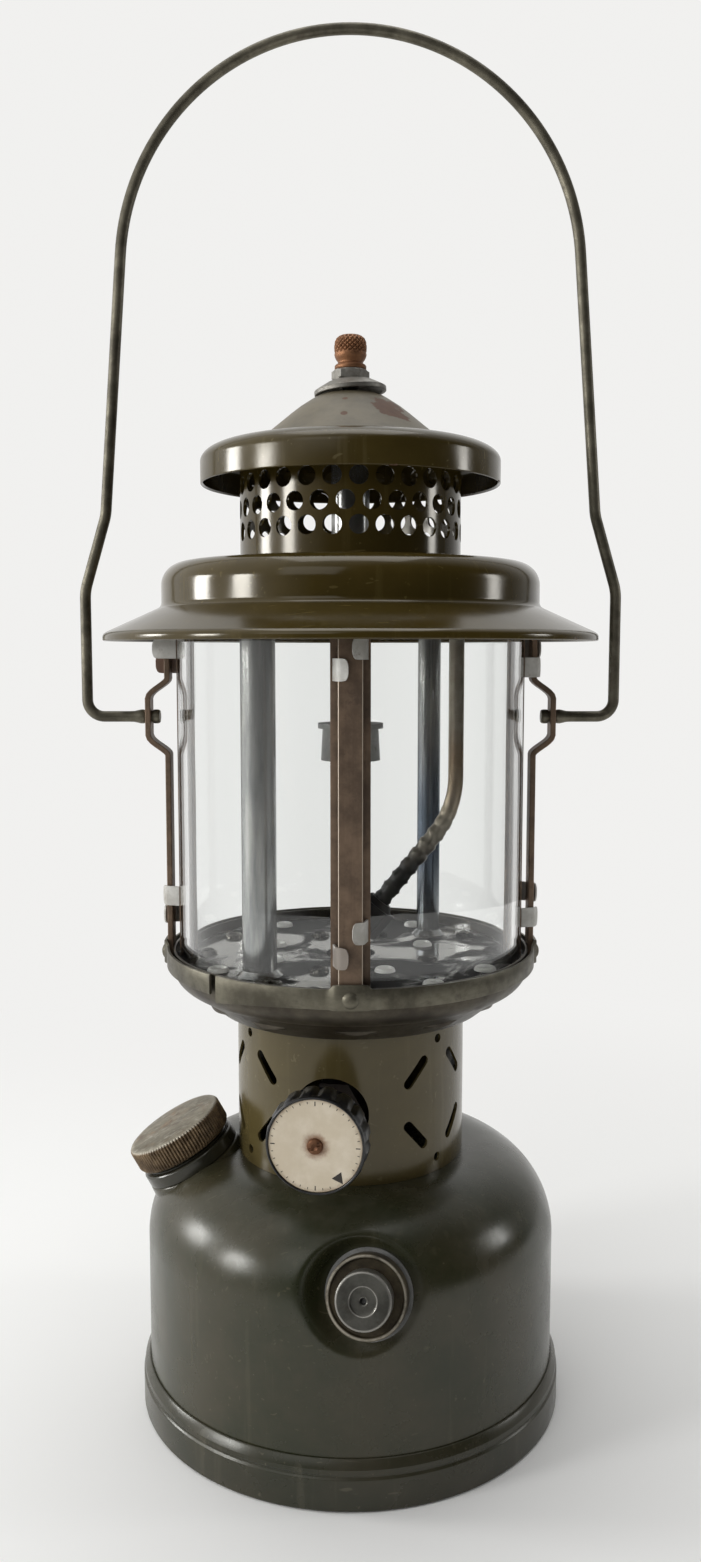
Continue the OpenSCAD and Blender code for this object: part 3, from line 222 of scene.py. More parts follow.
def walled(shape, t):
    """A sheet given a wall, t thick on its inner side, and closed round its open edges."""
    used = sorted({i for f in shape[1] for i in f})
    index = {old: new for new, old in enumerate(used)}
    verts = [Vector(shape[0][i]) for i in used]
    faces = [[index[i] for i in f] for f in shape[1]]
    normal, rim = [Vector((0, 0, 0)) for v in verts], {}
    for f in faces:
        n = (verts[f[2]] - verts[f[0]]).cross(verts[f[-1]] - verts[f[1]])
        for a, b in zip(f, f[1:] + f[:1]):
            normal[a] += n
            if (b, a) in rim:
                del rim[(b, a)]
            else:
                rim[(a, b)] = True
    inner = [v - n.normalized() * t for v, n in zip(verts, normal)]
    k = len(verts)
    faces += [[i + k for i in reversed(f)] for f in faces]
    faces += [[b, a, a + k, b + k] for a, b in rim]
    return [tuple(v) for v in verts + inner], faces


def piece(name, shape, body, material, nodes=(), sharp=32):
    """A mesh in millimetres that rides on a body, and stands for the nodes it replaces."""
    mesh = bpy.data.meshes.new(name)
    mesh.from_pydata([(x * MM, y * MM, z * MM) for x, y, z in shape[0]], [], shape[1])
    bm = bmesh.new()
    bm.from_mesh(mesh)
    bmesh.ops.remove_doubles(bm, verts=bm.verts, dist=WELD * MM)
    bmesh.ops.recalc_face_normals(bm, faces=bm.faces)
    bm.to_mesh(mesh)
    bm.free()
    for p in mesh.polygons:
        p.use_smooth = True
    mesh.set_sharp_from_angle(angle=rad(sharp))
    obj = bpy.data.objects.new(name, mesh)
    bpy.context.scene.collection.objects.link(obj)
    mesh.materials.append(material)
    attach(obj, body)
    if nodes:
        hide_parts(*nodes)


# Sizes that several pieces share, in millimetres and degrees

def frame_at(pos, tilt, az):
    """Place of a slanted piece: its local Z is the piece's axis."""
    return Matrix.Translation(pos) @ Matrix.Rotation(rad(az), 4, "Z") @ Matrix.Rotation(rad(tilt), 4, "X")


SHEET, TIN = 0.8, 0.5
FOUNT_R, FOUNT_H, SHOULDER = 61.7, 77.2, 25
SHOULDER_IN, SHOULDER_Z = FOUNT_R - SHOULDER, FOUNT_H - SHOULDER
FOOT_IN, FOOT_R, FOOT_H = 60.3, 63.9, 14.2
FILLER_TILT, FILLER_AZ = 29, -86
FILLER_R = SHOULDER_IN + SHOULDER * sin(rad(FILLER_TILT))
FILLER_Z = SHOULDER_Z + SHOULDER * cos(rad(FILLER_TILT))
FILLER = frame_at(spot(FILLER_R, rad(FILLER_AZ), FILLER_Z), FILLER_TILT, FILLER_AZ)
PUMP_X, PUMP_Z, PUMP_TILT, PUMP_AZ = 4.2, 58.5, 72, -9.5
PUMP_R = SHOULDER_IN + math.sqrt(SHOULDER ** 2 - (PUMP_Z - SHOULDER_Z) ** 2)
PUMP = frame_at((PUMP_X, -math.sqrt(PUMP_R ** 2 - PUMP_X ** 2), PUMP_Z), PUMP_TILT, PUMP_AZ)
VALVE_Z, VALVE_TILT, VALVE_AZ = 97.6, 90, -9.5
VALVE = frame_at((0, 0, VALVE_Z), VALVE_TILT, VALVE_AZ)
COLLAR_TOP = 121.05
BAND_R, BAND_Z, BAND_H, PLATE_Z = 55.2, 134, 5.5, 136.3
POST_IN, POST_W, POST_T, POST_TOP = 53.4, 6.4, 1.6, 239.2
POST_OUT = POST_IN + POST_T
EAR_IN, EAR_HALF, EAR_JOG, PIVOT = 59.2, 5.25, 6, 207.9
PANE_IN, PANE_OUT, PANE_MID, PANE_LOW, PANE_HIGH = 48.6, 51.0, 50, 136.4, 237.4
STRIP_IN, STRIP_OUT, STRIP_EDGE = PANE_IN - 0.3, PANE_OUT + 0.3, 5.15
TAB_LOW, TAB_HIGH, TAB_OPEN = (154.4, 147.8), (228.0, 222.5), 223.6
BRIM_R, BRIM_Z, HOOD_TOP = 72.2, 230.1, 252.6
CAP_R, CAP_Z, CAP_TOP = 43.7, 275.2, 301.1
STUD_BORE, WIRE_R = 2.48, 1.6

# Materials: a colour of three values is sRGB from 0 to 255, and one of four values is linear

# The last tone is for bright edge lines: painted edge highlights that also read as rubbed metal.
RUST, DUST, RUBBED_HIGHLIGHT = (104, 74, 52), (150, 146, 132), (206, 194, 176)
WARM_SHEEN, COOL_SHEEN = (1.0, 0.96, 0.86, 1.0), (1.0, 1.0, 0.95, 1.0)


def srgb(colour):
    channels = (c / 255 for c in colour)
    return tuple(c / 12.92 if c <= 0.04 else ((c + 0.055) / 1.055) ** 2.4 for c in channels) + (1,)


def shade(colour):
    return tuple(int(c * 0.8) for c in colour)


class Nodes:
    """A tree of shader nodes, built from short calls."""

    def __init__(self, tree):
        self.tree = tree

    def add(self, kind, ins=(), **props):
        n = self.tree.nodes.new("ShaderNode" + kind)
        for k, v in props.items():
            setattr(n, k, v)
        for k, v in dict(ins).items():
            self.put(n.inputs[k], v)
        return n

    def put(self, socket, value):
        if isinstance(value, bpy.types.NodeSocket):
            self.tree.links.new(value, socket)
        else:
            socket.default_value = value

    def math(self, op, a, b=0.0):
        return self.add("Math", {0: a, 1: b}, operation=op).outputs[0]

    def vector(self, op, a, b=(0, 0, 0), out="Vector"):
        return self.add("VectorMath", {0: a, 1: b}, operation=op).outputs[out]

    def blend(self, fac, a, b):
        """Mix of two numbers."""
        return self.add("Mix", {0: fac, 2: a, 3: b}).outputs[0]

    def mix(self, fac, a, b):
        """Mix of two colours, each a socket or a triple."""
        a, b = (srgb(c) if isinstance(c, tuple) else c for c in (a, b))
        return self.add("Mix", {0: fac, 6: a, 7: b}, data_type="RGBA").outputs[2]

    def over(self, colour, mask, amount, tone):
        """The colour with a tone laid over it by an amount where the mask is 1."""
        return self.mix(self.math("MULTIPLY", mask, amount), colour, tone)

    def ramp(self, value, low, high):
        return self.add("MapRange", {0: value, 1: low, 2: high}, interpolation_type="SMOOTHSTEP").outputs[0]

    def near(self, value, middle, width):
        """1 where the value is at the middle, falling to 0 at the width from it."""
        return self.ramp(self.math("ABSOLUTE", self.math("SUBTRACT", value, middle)), width, 0.0)


class Finish(Nodes):
    """A procedural material. Noise scales are per metre, and what it measures is in millimetres."""

    def __init__(self, name):
        self.mat = bpy.data.materials.new(name)
        self.mat.use_nodes = True
        super().__init__(self.mat.node_tree)
        self.bsdf = self.tree.nodes["Principled BSDF"]
        self.pos = self.add("TexCoord").outputs["Object"]
        self.place = self.vector("MULTIPLY", self.pos, (1 / MM, 1 / MM, 1 / MM))
        self.bumps = None

    def set(self, **values):
        for k, v in values.items():
            self.put(self.bsdf.inputs[k.replace("_", " ")], v)

    def stretched(self, x, y, z):
        return self.add("Mapping", {"Vector": self.pos, "Scale": (x, y, z)}).outputs[0]

    def noise(self, scale, detail=4.0, rough=0.55, at=None, warp=0.0):
        return self.add("TexNoise", {"Vector": at or self.pos, "Scale": scale, "Detail": detail,
                                     "Roughness": rough, "Distortion": warp}).outputs[0]

    def cloud(self, scale, detail, rough, low, high, at=None, warp=0.0):
        """Noise with its contrast raised: 0 up to low, and 1 from high."""
        return self.ramp(self.noise(scale, detail, rough, at, warp), low, high)

    def axis(self, i):
        return self.add("SeparateXYZ", {0: self.place}).outputs[i]

    def radius(self):
        return self.vector("LENGTH", self.vector("MULTIPLY", self.place, (1, 1, 0)), out="Value")

    def away(self, *point):
        return self.vector("DISTANCE", self.place, point, "Value")

    def reach(self, place):
        """Distance from the axis of a slanted piece."""
        off = self.vector("SUBTRACT", self.place, tuple(place.translation))
        across = self.vector("CROSS_PRODUCT", off, tuple(place.col[2].xyz))
        return self.vector("LENGTH", across, out="Value")

    def height(self, place):
        """Height along the axis of a slanted piece."""
        off = self.vector("SUBTRACT", self.place, tuple(place.translation))
        return self.vector("DOT_PRODUCT", off, tuple(place.col[2].xyz), "Value")

    def bump(self, height, strength, distance):
        ins = {"Height": height, "Strength": strength, "Distance": distance * MM}
        if self.bumps:
            ins["Normal"] = self.bumps
        self.bumps = self.add("Bump", ins).outputs[0]
        self.set(Normal=self.bumps)


def paint(name, colour, dark, light, rough, chip, chip_tone, peel, edges, dust=0.0, faded=None,
          sheen=WARM_SHEEN):
    """Old paint: uneven colour, fine scratches, and chips that gather at the given edges.
    An edge is (axis "r" or "z" or a point, place, width, strength), faded is (outer radius, inner
    radius, colour) of a dull middle, and sheen tints what the paint mirrors."""
    f = Finish(name)
    col = f.mix(f.cloud(38, 6, 0.6, 0.3, 0.72), dark, colour)
    if faded:
        outer, inner, tone = faded
        dull = f.ramp(f.radius(), outer, inner)
        col = f.mix(dull, col, f.mix(f.cloud(90, 6, 0.65, 0.35, 0.7), tone, shade(tone)))
    streaks = f.cloud(1, 5, 0.6, 0.56, 0.7, f.stretched(260, 260, 14))
    col = f.over(col, streaks, 0.22, light)
    scratch = f.cloud(1, 2, 0.5, 0.685, 0.72, f.stretched(90, 900, 420), 0.6)
    fleck = f.cloud(700, 3, 0.5, 0.69, 0.74)
    col = f.over(col, f.math("MAXIMUM", scratch, fleck), 0.5, light)
    worn = f.noise(150, 8, 0.65)
    for axis, place, width, strength in edges:
        value = f.away(*axis) if isinstance(axis, tuple) else f.radius() if axis == "r" else f.axis(2)
        worn = f.math("ADD", worn, f.math("MULTIPLY", f.near(value, place, width), strength))
    chips = f.ramp(worn, 0.80 - chip, 0.84 - chip)
    col = f.mix(chips, col, f.mix(f.noise(420, 5, 0.7), chip_tone, RUST))
    if dust:
        up = f.add("SeparateXYZ", {0: f.add("NewGeometry").outputs["Normal"]}).outputs[2]
        settled = f.math("MULTIPLY", f.ramp(up, 0.2, 1.0), f.cloud(60, 7, 0.7, 0.35, 0.75))
        col = f.over(col, settled, dust, DUST)
    gloss = f.blend(f.cloud(55, 5, 0.6, 0.3, 0.7), rough * 0.8, rough * 1.25)
    if faded:
        gloss = f.blend(dull, gloss, 0.45)
    f.set(Base_Color=col, Roughness=f.blend(chips, gloss, 0.62), Specular_Tint=sheen)
    f.bump(f.noise(260, 2, 0.5), peel, 1.0)
    f.bump(f.math("SUBTRACT", 1.0, chips), 0.25, 0.12)
    return f.mat


def metal(name, colour, dark, rough, metallic, grime=0.35, grime_tone=(52, 42, 34), brush=(1, 1, 1),
          grain=900, rubbed=()):
    """Bare metal: brushed grain, dull patches and grime. Bright lines are laid along edges as painted edge
    highlights that also read as rubbed metal; each is given as its distance from the middle plane and the
    radii where it starts and is full."""
    f = Finish(name)
    lines = f.noise(grain, 3, 0.6, f.stretched(*brush))
    col = f.mix(f.cloud(85, 6, 0.65, 0.32, 0.7), dark, colour)
    col = f.over(col, f.ramp(lines, 0.45, 0.75), 0.3, dark)
    dirt = f.math("MULTIPLY", f.cloud(190, 7, 0.7, 0.54, 0.7), grime)
    col = f.mix(dirt, col, grime_tone)
    # Painted highlight: each edge line is lightened towards a pale tone, standing for light on the edge as
    # well as rubbed metal.
    for place, start, full in rubbed:
        edge = f.near(f.math("ABSOLUTE", f.axis(0)), place, 0.34)
        col = f.over(col, f.math("MULTIPLY", edge, f.ramp(f.radius(), start, full)), 0.8, RUBBED_HIGHLIGHT)
    f.set(Base_Color=col, Metallic=f.math("MULTIPLY", f.math("SUBTRACT", 1.0, dirt), metallic))
    f.set(Roughness=f.math("ADD", f.math("MULTIPLY", lines, 0.22), f.blend(dirt, rough, 0.55)))
    f.bump(lines, 0.06, 0.15)
    return f.mat


def plain(name, colour, rough, metallic=0.0):
    """Small dark or hidden pieces."""
    f = Finish(name)
    f.set(Base_Color=f.mix(f.noise(400, 5), shade(colour), colour))
    f.set(Metallic=metallic, Roughness=f.blend(f.noise(200, 4), rough * 0.85, rough * 1.15))
    f.bump(f.noise(800, 4), 0.06, 0.1)
    return f.mat


def plate_finish():
    """Polished plate under the flame: dark scale, worn through to the polish in patches."""
    f = Finish("plate_scale")
    scale = f.cloud(38, 5, 0.6, 0.44, 0.56, warp=0.8)
    col = f.mix(scale, (104, 101, 94), (30, 29, 28))
    col = f.over(col, f.cloud(260, 6, 0.7, 0.56, 0.7), 0.6, (34, 29, 26))
    f.set(Base_Color=col, Metallic=f.blend(scale, 0.9, 0.0), Roughness=f.blend(scale, 0.1, 0.6))
    f.set(Specular_IOR_Level=f.blend(scale, 0.5, 0.08))
    f.bump(f.noise(900, 2), 0.02, 0.08)
    return f.mat


def tin_finish():
    """Pale tinned tabs, with two of them gone brown."""
    f = Finish("tabs_tin")
    col = f.mix(f.cloud(120, 6, 0.65, 0.32, 0.7), (166, 163, 156), (202, 201, 196))
    col = f.over(col, f.cloud(260, 6, 0.7, 0.56, 0.72), 0.6, (120, 104, 88))
    for place, tone in (((-3, -56, TAB_LOW[1]), (112, 102, 92)), ((-57, 3.5, TAB_OPEN), (140, 110, 94))):
        ragged = f.math("ADD", f.away(*place), f.math("MULTIPLY", f.noise(400, 5, 0.7), 4))
        col = f.over(col, f.ramp(ragged, 9, 5.5), 0.85, tone)
    f.set(Base_Color=col, Metallic=0.25, Roughness=f.blend(f.noise(300, 4), 0.4, 0.62))
    f.bump(f.noise(700, 4), 0.08, 0.12)
    return f.mat


def tube_finish():
    """Bare tubes: pale streaks, darker where they stood in the flame, a blue heat tint on the right one."""
    f = Finish("tube_heat")
    wave = f.math("ADD", f.axis(2), f.math("MULTIPLY", f.noise(60, 4), 12))
    col = f.mix(f.cloud(1, 4, 0.6, 0.35, 0.68, f.stretched(260, 260, 30)), (160, 162, 162), (204, 204, 200))
    col = f.over(col, f.ramp(wave, 176, 222), 0.25, (112, 108, 100))
    blue = f.math("MULTIPLY", f.near(wave, 174, 45), f.ramp(f.axis(0), 0, 10))
    col = f.over(col, blue, 0.8, (84, 102, 124))
    col = f.over(col, f.ramp(wave, 152, 138), 0.4, (96, 88, 80))
    f.set(Base_Color=col, Metallic=0.85)
    f.set(Roughness=f.blend(f.noise(1, 3, 0.6, f.stretched(200, 200, 24)), 0.14, 0.32))
    f.bump(f.noise(1, 2, 0.5, f.stretched(700, 700, 60)), 0.03, 0.1)
    return f.mat


def generator_finish():
    """Generator: straw brown above, sooty black at the foot."""
    f = Finish("generator_heat")
    wave = f.math("ADD", f.axis(2), f.math("MULTIPLY", f.noise(70, 5), 14))
    black_end = f.ramp(wave, 188, 168)
    col = f.mix(f.noise(240, 5, 0.6), (126, 119, 106), (188, 180, 164))
    col = f.over(col, f.near(wave, 200, 20), 0.6, (136, 110, 80))
    col = f.mix(black_end, col, (30, 28, 27))
    f.set(Base_Color=col, Metallic=f.blend(black_end, 0.85, 0.2))
    f.set(Roughness=f.blend(f.noise(300, 5, 0.6), 0.26, 0.52))
    f.bump(f.noise(520, 4), 0.1, 0.2)
    return f.mat


def glass_finish():
    """Clear glass with a slight waviness."""
    f = Finish("clear_glass")
    f.set(Base_Color=(0.99, 1.0, 0.995, 1), Roughness=0.0, IOR=1.47, Transmission_Weight=1.0)
    f.bump(f.noise(30, 2, 0.4, f.stretched(1, 1, 0.5)), 0.1, 1.2)
    return f.mat


def wheel_finish():
    """Black moulding, dusty grey in patches."""
    f = Finish("wheel_black")
    f.set(Base_Color=f.mix(f.cloud(320, 6, 0.65, 0.5, 0.75), (18, 18, 19), (46, 45, 44)))
    f.set(Roughness=f.blend(f.noise(160, 4), 0.24, 0.42))
    f.bump(f.noise(900, 3), 0.08, 0.1)
    return f.mat


def dial_finish():
    """Cream face, with a rust stain round the screw and a yellowed rim."""
    f = Finish("dial_cream")
    col = f.mix(f.cloud(120, 6, 0.65, 0.35, 0.75), (204, 191, 168), (220, 209, 190))
    ragged = f.math("ADD", f.reach(VALVE), f.math("MULTIPLY", f.noise(420, 6, 0.7), 3.6))
    col = f.over(col, f.ramp(ragged, 6.2, 3.6), 0.85, (136, 92, 60))
    col = f.over(col, f.ramp(ragged, 13.2, 14.8), 0.6, (150, 130, 104))
    f.set(Base_Color=col, Roughness=0.5)
    f.bump(f.noise(800, 4), 0.05, 0.08)
    return f.mat


def lid_finish():
    """Filler cap: worn bare metal on top, rust brown in the knurl."""
    f = Finish("cap_worn")
    height = f.height(FILLER)
    top = f.math("MULTIPLY", f.ramp(height, 10.7, 11.2), f.cloud(160, 7, 0.7, 0.3, 0.5))
    scratch = f.cloud(1, 3, 0.6, 0.5, 0.7, f.stretched(120, 700, 500), 1.2)
    knurled = f.mix(f.cloud(300, 7, 0.7, 0.36, 0.68), (86, 69, 50), (138, 117, 90))
    face = f.mix(f.cloud(140, 7, 0.7, 0.36, 0.7), (98, 91, 74), (138, 131, 114))
    face = f.over(face, scratch, 0.5, (164, 158, 144))
    col = f.mix(top, knurled, face)
    col = f.over(col, f.near(height, 11, 0.5), 0.5, (188, 182, 168))
    f.set(Base_Color=col, Metallic=0.45, Roughness=f.blend(scratch, 0.5, 0.36))
    f.bump(f.noise(700, 5, 0.7), 0.12, 0.15)
    return f.mat


def pump_ring_finish():
    """Dark closing ring, rubbed bright along its rim."""
    f = Finish("pump_ring")
    col = f.mix(f.cloud(160, 6, 0.65, 0.35, 0.7), (50, 44, 34), (78, 70, 54))
    rim = f.math("MULTIPLY", f.near(f.reach(PUMP), 10.4, 0.5), f.cloud(150, 6, 0.7, 0.3, 0.55))
    f.set(Base_Color=f.mix(rim, col, (166, 160, 146)), Metallic=f.blend(rim, 0.25, 0.7))
    f.set(Roughness=f.blend(f.noise(240, 5), 0.4, 0.6), Specular_IOR_Level=0.2)
    f.bump(f.noise(700, 4), 0.08, 0.12)
    return f.mat


def knob_finish():
    """Turned knob: rings left by the tool, bright edges, and painted shade in its hole, which is near black
    and not metallic.
    """
    f = Finish("knob_turned")
    reach = f.reach(PUMP)
    col = f.mix(f.cloud(130, 6, 0.65, 0.34, 0.7), (70, 69, 64), (98, 97, 91))
    col = f.over(col, f.cloud(300, 6, 0.7, 0.54, 0.7), 0.5, (66, 58, 48))
    edge = f.math("MAXIMUM", f.near(reach, 7.2, 0.5), f.near(reach, 3.7, 0.3))
    col = f.over(col, edge, 0.45, (190, 187, 180))
    # Painted shade: the hole in the knob's face is painted near black.
    hole = f.ramp(reach, 0.88, 0.8)
    f.set(Base_Color=f.mix(hole, col, (8, 8, 8)), Metallic=f.blend(hole, 0.7, 0.0))
    f.set(Roughness=f.blend(f.noise(240, 5), 0.28, 0.46))
    f.bump(f.math("SINE", f.math("MULTIPLY", reach, 24)), 0.04, 0.06)
    return f.mat


enamel = paint("enamel_gloss", (68, 56, 23), (57, 47, 18), (98, 86, 50), rough=0.15, chip=0.03,
               chip_tone=(44, 33, 28), peel=0.015,
               edges=[("z", BRIM_Z + 0.5, 1.6, 0.16), ("z", CAP_Z + 0.2, 1.4, 0.15)])
enamel_cone = paint("enamel_cone", (68, 57, 25), (57, 47, 19), (104, 94, 66), rough=0.19, chip=0.035,
                    chip_tone=(74, 46, 40), peel=0.02,
                    edges=[("z", CAP_Z + 0.1, 1.2, 0.16), ((12, -14, 294.8), 0, 12, 0.42),
                           ((-1.5, -14, 297.2), 0, 1.7, 0.6), ((-1.8, -21, 292.4), 0, 2, 0.6),
                           ("r", 11, 5, 0.1)],
                    faded=(29, 25, (102, 94, 76)))
olive = paint("fount_olive", (57, 53, 38), (38, 41, 24), (82, 78, 60), rough=0.25, chip=0.0,
              chip_tone=(54, 41, 31), peel=0.02, dust=0.1, sheen=COOL_SHEEN,
              edges=[("z", FOOT_H - 2, 2.2, 0.09), ("z", FOUNT_H - 1.7, 5, 0.06)])
skirt_olive = paint("foot_olive", (54, 50, 37), (38, 39, 25), (92, 87, 72), rough=0.28, chip=0.03,
                    chip_tone=(66, 50, 36), peel=0.025, dust=0.06, sheen=COOL_SHEEN,
                    edges=[("z", 0.6, 1.6, 0.16), ("z", FOOT_H - 4, 0.8, 0.12)])
collar_olive = paint("collar_olive", (84, 74, 45), (73, 64, 38), (106, 97, 70), rough=0.2, chip=0.02,
                     chip_tone=(52, 40, 32), peel=0.03,
                     edges=[("z", FOUNT_H + 1, 1.6, 0.12), ("z", COLLAR_TOP - 1.55, 2.2, 0.12)])
# The long edges of the posts and strips carry bright lines: painted edge highlights that also read as rubbed
# metal.
brown = metal("cage_brown", (128, 107, 88), (88, 73, 60), rough=0.4, metallic=0.45, grime=0.5,
              grime_tone=(56, 41, 31), brush=(1, 1, 0.06), grain=1100,
              rubbed=((POST_W / 2, POST_OUT - 0.4, POST_OUT - 0.1),
                      (STRIP_EDGE + 0.2, STRIP_OUT, STRIP_OUT + 0.3)))
band_steel = metal("band_steel", (112, 108, 94), (72, 68, 57), rough=0.34, metallic=0.7,
                   grime=0.5, grime_tone=(50, 42, 33), brush=(0.3, 0.3, 1))
bowl_steel = metal("bowl_steel", (84, 78, 66), (52, 46, 38), rough=0.3, metallic=0.65,
                   grime=0.55, grime_tone=(42, 33, 26), brush=(0.3, 0.3, 1))
# Painted highlight: near-white eyelets that stand for glints of light on their rims.
eyelet_glint_white = metal("eyelet_glint_white", (240, 240, 236), (222, 221, 216), rough=0.45, metallic=0.1,
                   grime=0.12, grime_tone=(150, 140, 128))
zinc = metal("nut_zinc", (150, 148, 142), (112, 108, 100), rough=0.4, metallic=0.8,
             grime=0.5, grime_tone=(74, 60, 48))
brass = metal("aged_brass", (150, 106, 74), (104, 72, 50), rough=0.4, metallic=0.7,
              grime=0.6, grime_tone=(58, 40, 29))
dark_brass = metal("valve_brass", (150, 116, 74), (104, 78, 50), rough=0.38, metallic=0.9)
copper = metal("screw_copper", (112, 76, 52), (74, 50, 35), rough=0.4, metallic=0.7,
               grime=0.7, grime_tone=(48, 32, 24))
wire = metal("bail_wire", (118, 113, 98), (72, 68, 57), rough=0.34, metallic=0.65,
             grime=0.5, grime_tone=(54, 44, 34), grain=700)
pump_steel = metal("pump_steel", (150, 150, 148), (116, 116, 114), rough=0.36, metallic=0.8,
                   grime=0.4, grime_tone=(70, 64, 56))
ink = plain("dial_ink", (52, 46, 40), 0.6)
neck_gloss = plain("neck_gloss", (56, 54, 43), 0.22, 0.1)
valve_dark = plain("valve_dark", (40, 33, 27), 0.5, 0.4)
soot = plain("sooty_nut", (34, 31, 29), 0.5, 0.3)
rubber = plain("seal_rubber", (34, 33, 32), 0.7)
hide = plain("oiled_leather", (84, 58, 38), 0.6)
plate_steel = plate_finish()
tin = tin_finish()
tubes = tube_finish()
heat = generator_finish()
glass = glass_finish()
black = wheel_finish()
cream = dial_finish()
worn_lid = lid_finish()
closing = pump_ring_finish()
turned_steel = knob_finish()

# Fount: spun shell with the pump's dent pressed into its shoulder, the filler's seat and the foot ring

DENT_FLOOR, DENT_RISE, DENT_R, DENT_MOUTH, DENT_LEAN = -5, 9.5, 12.4, 20, 1.5
DENT_SOFT, DENT_REACH, BARREL_HOLE, BARREL_DEPTH, FOUNT_STEP = 3.6, 30, 10, 20, 1.6


def pressed(reach, z):
    """Height of the shell over the pump's seat once the dent is in it, at a reach from the pump's axis."""
    floor = DENT_FLOOR + DENT_RISE * smooth((reach - DENT_R) / (DENT_MOUTH - DENT_R))
    floor += max(0, reach - DENT_MOUTH) * DENT_LEAN
    h = max(0, min(1, 0.5 + 0.5 * (floor - z) / DENT_SOFT))
    return min(z, floor * (1 - h) + z * h - DENT_SOFT * h * (1 - h))


def fount():
    line = [(FOUNT_R, 0.95)] + [(FOUNT_R, 1 + FOUNT_STEP * i) for i in range(1, 32)]
    line += arc(SHOULDER_IN, SHOULDER_Z, SHOULDER, SHOULDER, 0, 90, 46)
    line += [(SHOULDER_IN - FOUNT_STEP * i, FOUNT_H) for i in range(1, 19)]
    verts, faces = lathe(line, 400, closed=False)
    to_pump = PUMP.inverted()
    out, hole = [], set()
    for i, v in enumerate(verts):
        p = to_pump @ Vector(v)
        reach = math.hypot(p.x, p.y)
        if reach < BARREL_HOLE and p.z > -BARREL_DEPTH:
            hole.add(i)
        if reach <= DENT_REACH and p.z >= -DENT_REACH:
            v = tuple(PUMP @ Vector((p.x, p.y, pressed(reach, p.z))))
        out.append(v)
    return walled((out, [f for f in faces if not hole.issuperset(f)]), SHEET)


foot_line = [(FOOT_IN, 0), (FOOT_R - 0.6, 0), (FOOT_R, 0.6), (FOOT_R, 9.2), (63.35, 9.9), (63.6, 10.7),
             (63.5, 11.8), (62.9, 13.0), (62.2, 14.1), (FOUNT_R + 0.02, FOOT_H), (FOUNT_R + 0.02, 0.9),
             (FOOT_IN, 0.9)]
seat_line = [(12.6, -6), (15.4, -7), (15.0, -1.9), (14.4, -1.4), (12.6, -1.4)]
piece("fount", fount(), "lantern", olive, ["fount_shell"], 60)
piece("filler_seat", spun(seat_line, 0.5, 128, FILLER), "lantern", olive)
piece("foot_ring", spun(foot_line, 0.5, 224), "lantern", skirt_olive, ["base_skirt"], 40)

# Filler: bushing with its thread, and the knurled cap, along the filler's own axis

NECK_IN, NECK_R, LID_IN, LID_R, LID_KNURLS = 9.5, 13.0, 13.08, 15.2, 96
thread = [(NECK_R - cut, z + up) for z in (2.8, 3.5) for cut, up in ((0, 0), (0.4, 0.2), (0, 0.45))]
neck_line = ([(NECK_IN, -5.4), (12.4, -5.4), (12.4, -1.35), (14.9, -1.35), (14.9, 2.1), (14.4, 2.5),
              (NECK_R, 2.5)] + thread + [(NECK_R, 8.4), (NECK_IN, 8.4)])
lid_line = [(LID_IN, 3.7), (14.1, 3.7), (14.7, 4.1), (15.0, 4.7), (LID_R, 5.0), (LID_R, 7.5), (LID_R, 10.3),
            (15.0, 10.75), (14.5, 11.2), (13.4, 11.4), (13.0, 11.5), (8, 11.58), (0, 11.6), (0, 9.85),
            (LID_IN, 9.85)]
lid_knurl = grooves(LID_KNURLS, 4.5, 10.9, 14.6, lambda w: 0.42 * max(0.0, w - 0.25) / 0.75)
lid = moved(lathe(lid_line, LID_KNURLS * 6, warp=lid_knurl), FILLER)
piece("filler_bushing", spun(neck_line, 0.3, 128, FILLER), "lantern", neck_gloss, ["filler_neck"])
piece("filler_lid", lid, "filler_lid", worn_lid, ["filler_cap"], 50)

# Pump: closing ring and thumb knob, along the pump's own axis

BARREL_R, RING_R, ROD_HOLE, KNOB_IN, KNOB_R, KNOB_FACE = 9.45, 10.9, 3.28, 3.25, 7.5, 6.65
ring_line = [(BARREL_R, -4.2), (RING_R, -4.2), (RING_R, 0.8), (9.9, 0.8), (9.75, 0.0), (6.9, -0.15),
             (ROD_HOLE, -0.15), (ROD_HOLE, -1.2), (BARREL_R, -1.2)]
knob_line = [(KNOB_IN, 1.1), (6.9, 1.1), (KNOB_R, 1.6), (KNOB_R, 6.2), (7.3, 6.55), (6.9, KNOB_FACE),
             (3.75, KNOB_FACE), (3.55, 6.5), (3.45, 6.2), (2.9, 6.15), (1.2, 6.15), (0.85, 6.0), (0.8, 5.6),
             (0.8, 4.15), (KNOB_IN, 4.15)]
piece("pump_ring", spun(ring_line, 0.35, 128, PUMP), "lantern", closing, ["pump_cap"])
piece("thumb_knob", spun(knob_line, 0.2, 112, PUMP), "pump_plunger", turned_steel,
      ["pump_knob"])

# Handwheel: grips round the side, a rim, the dial and its screw, along the valve's own axis

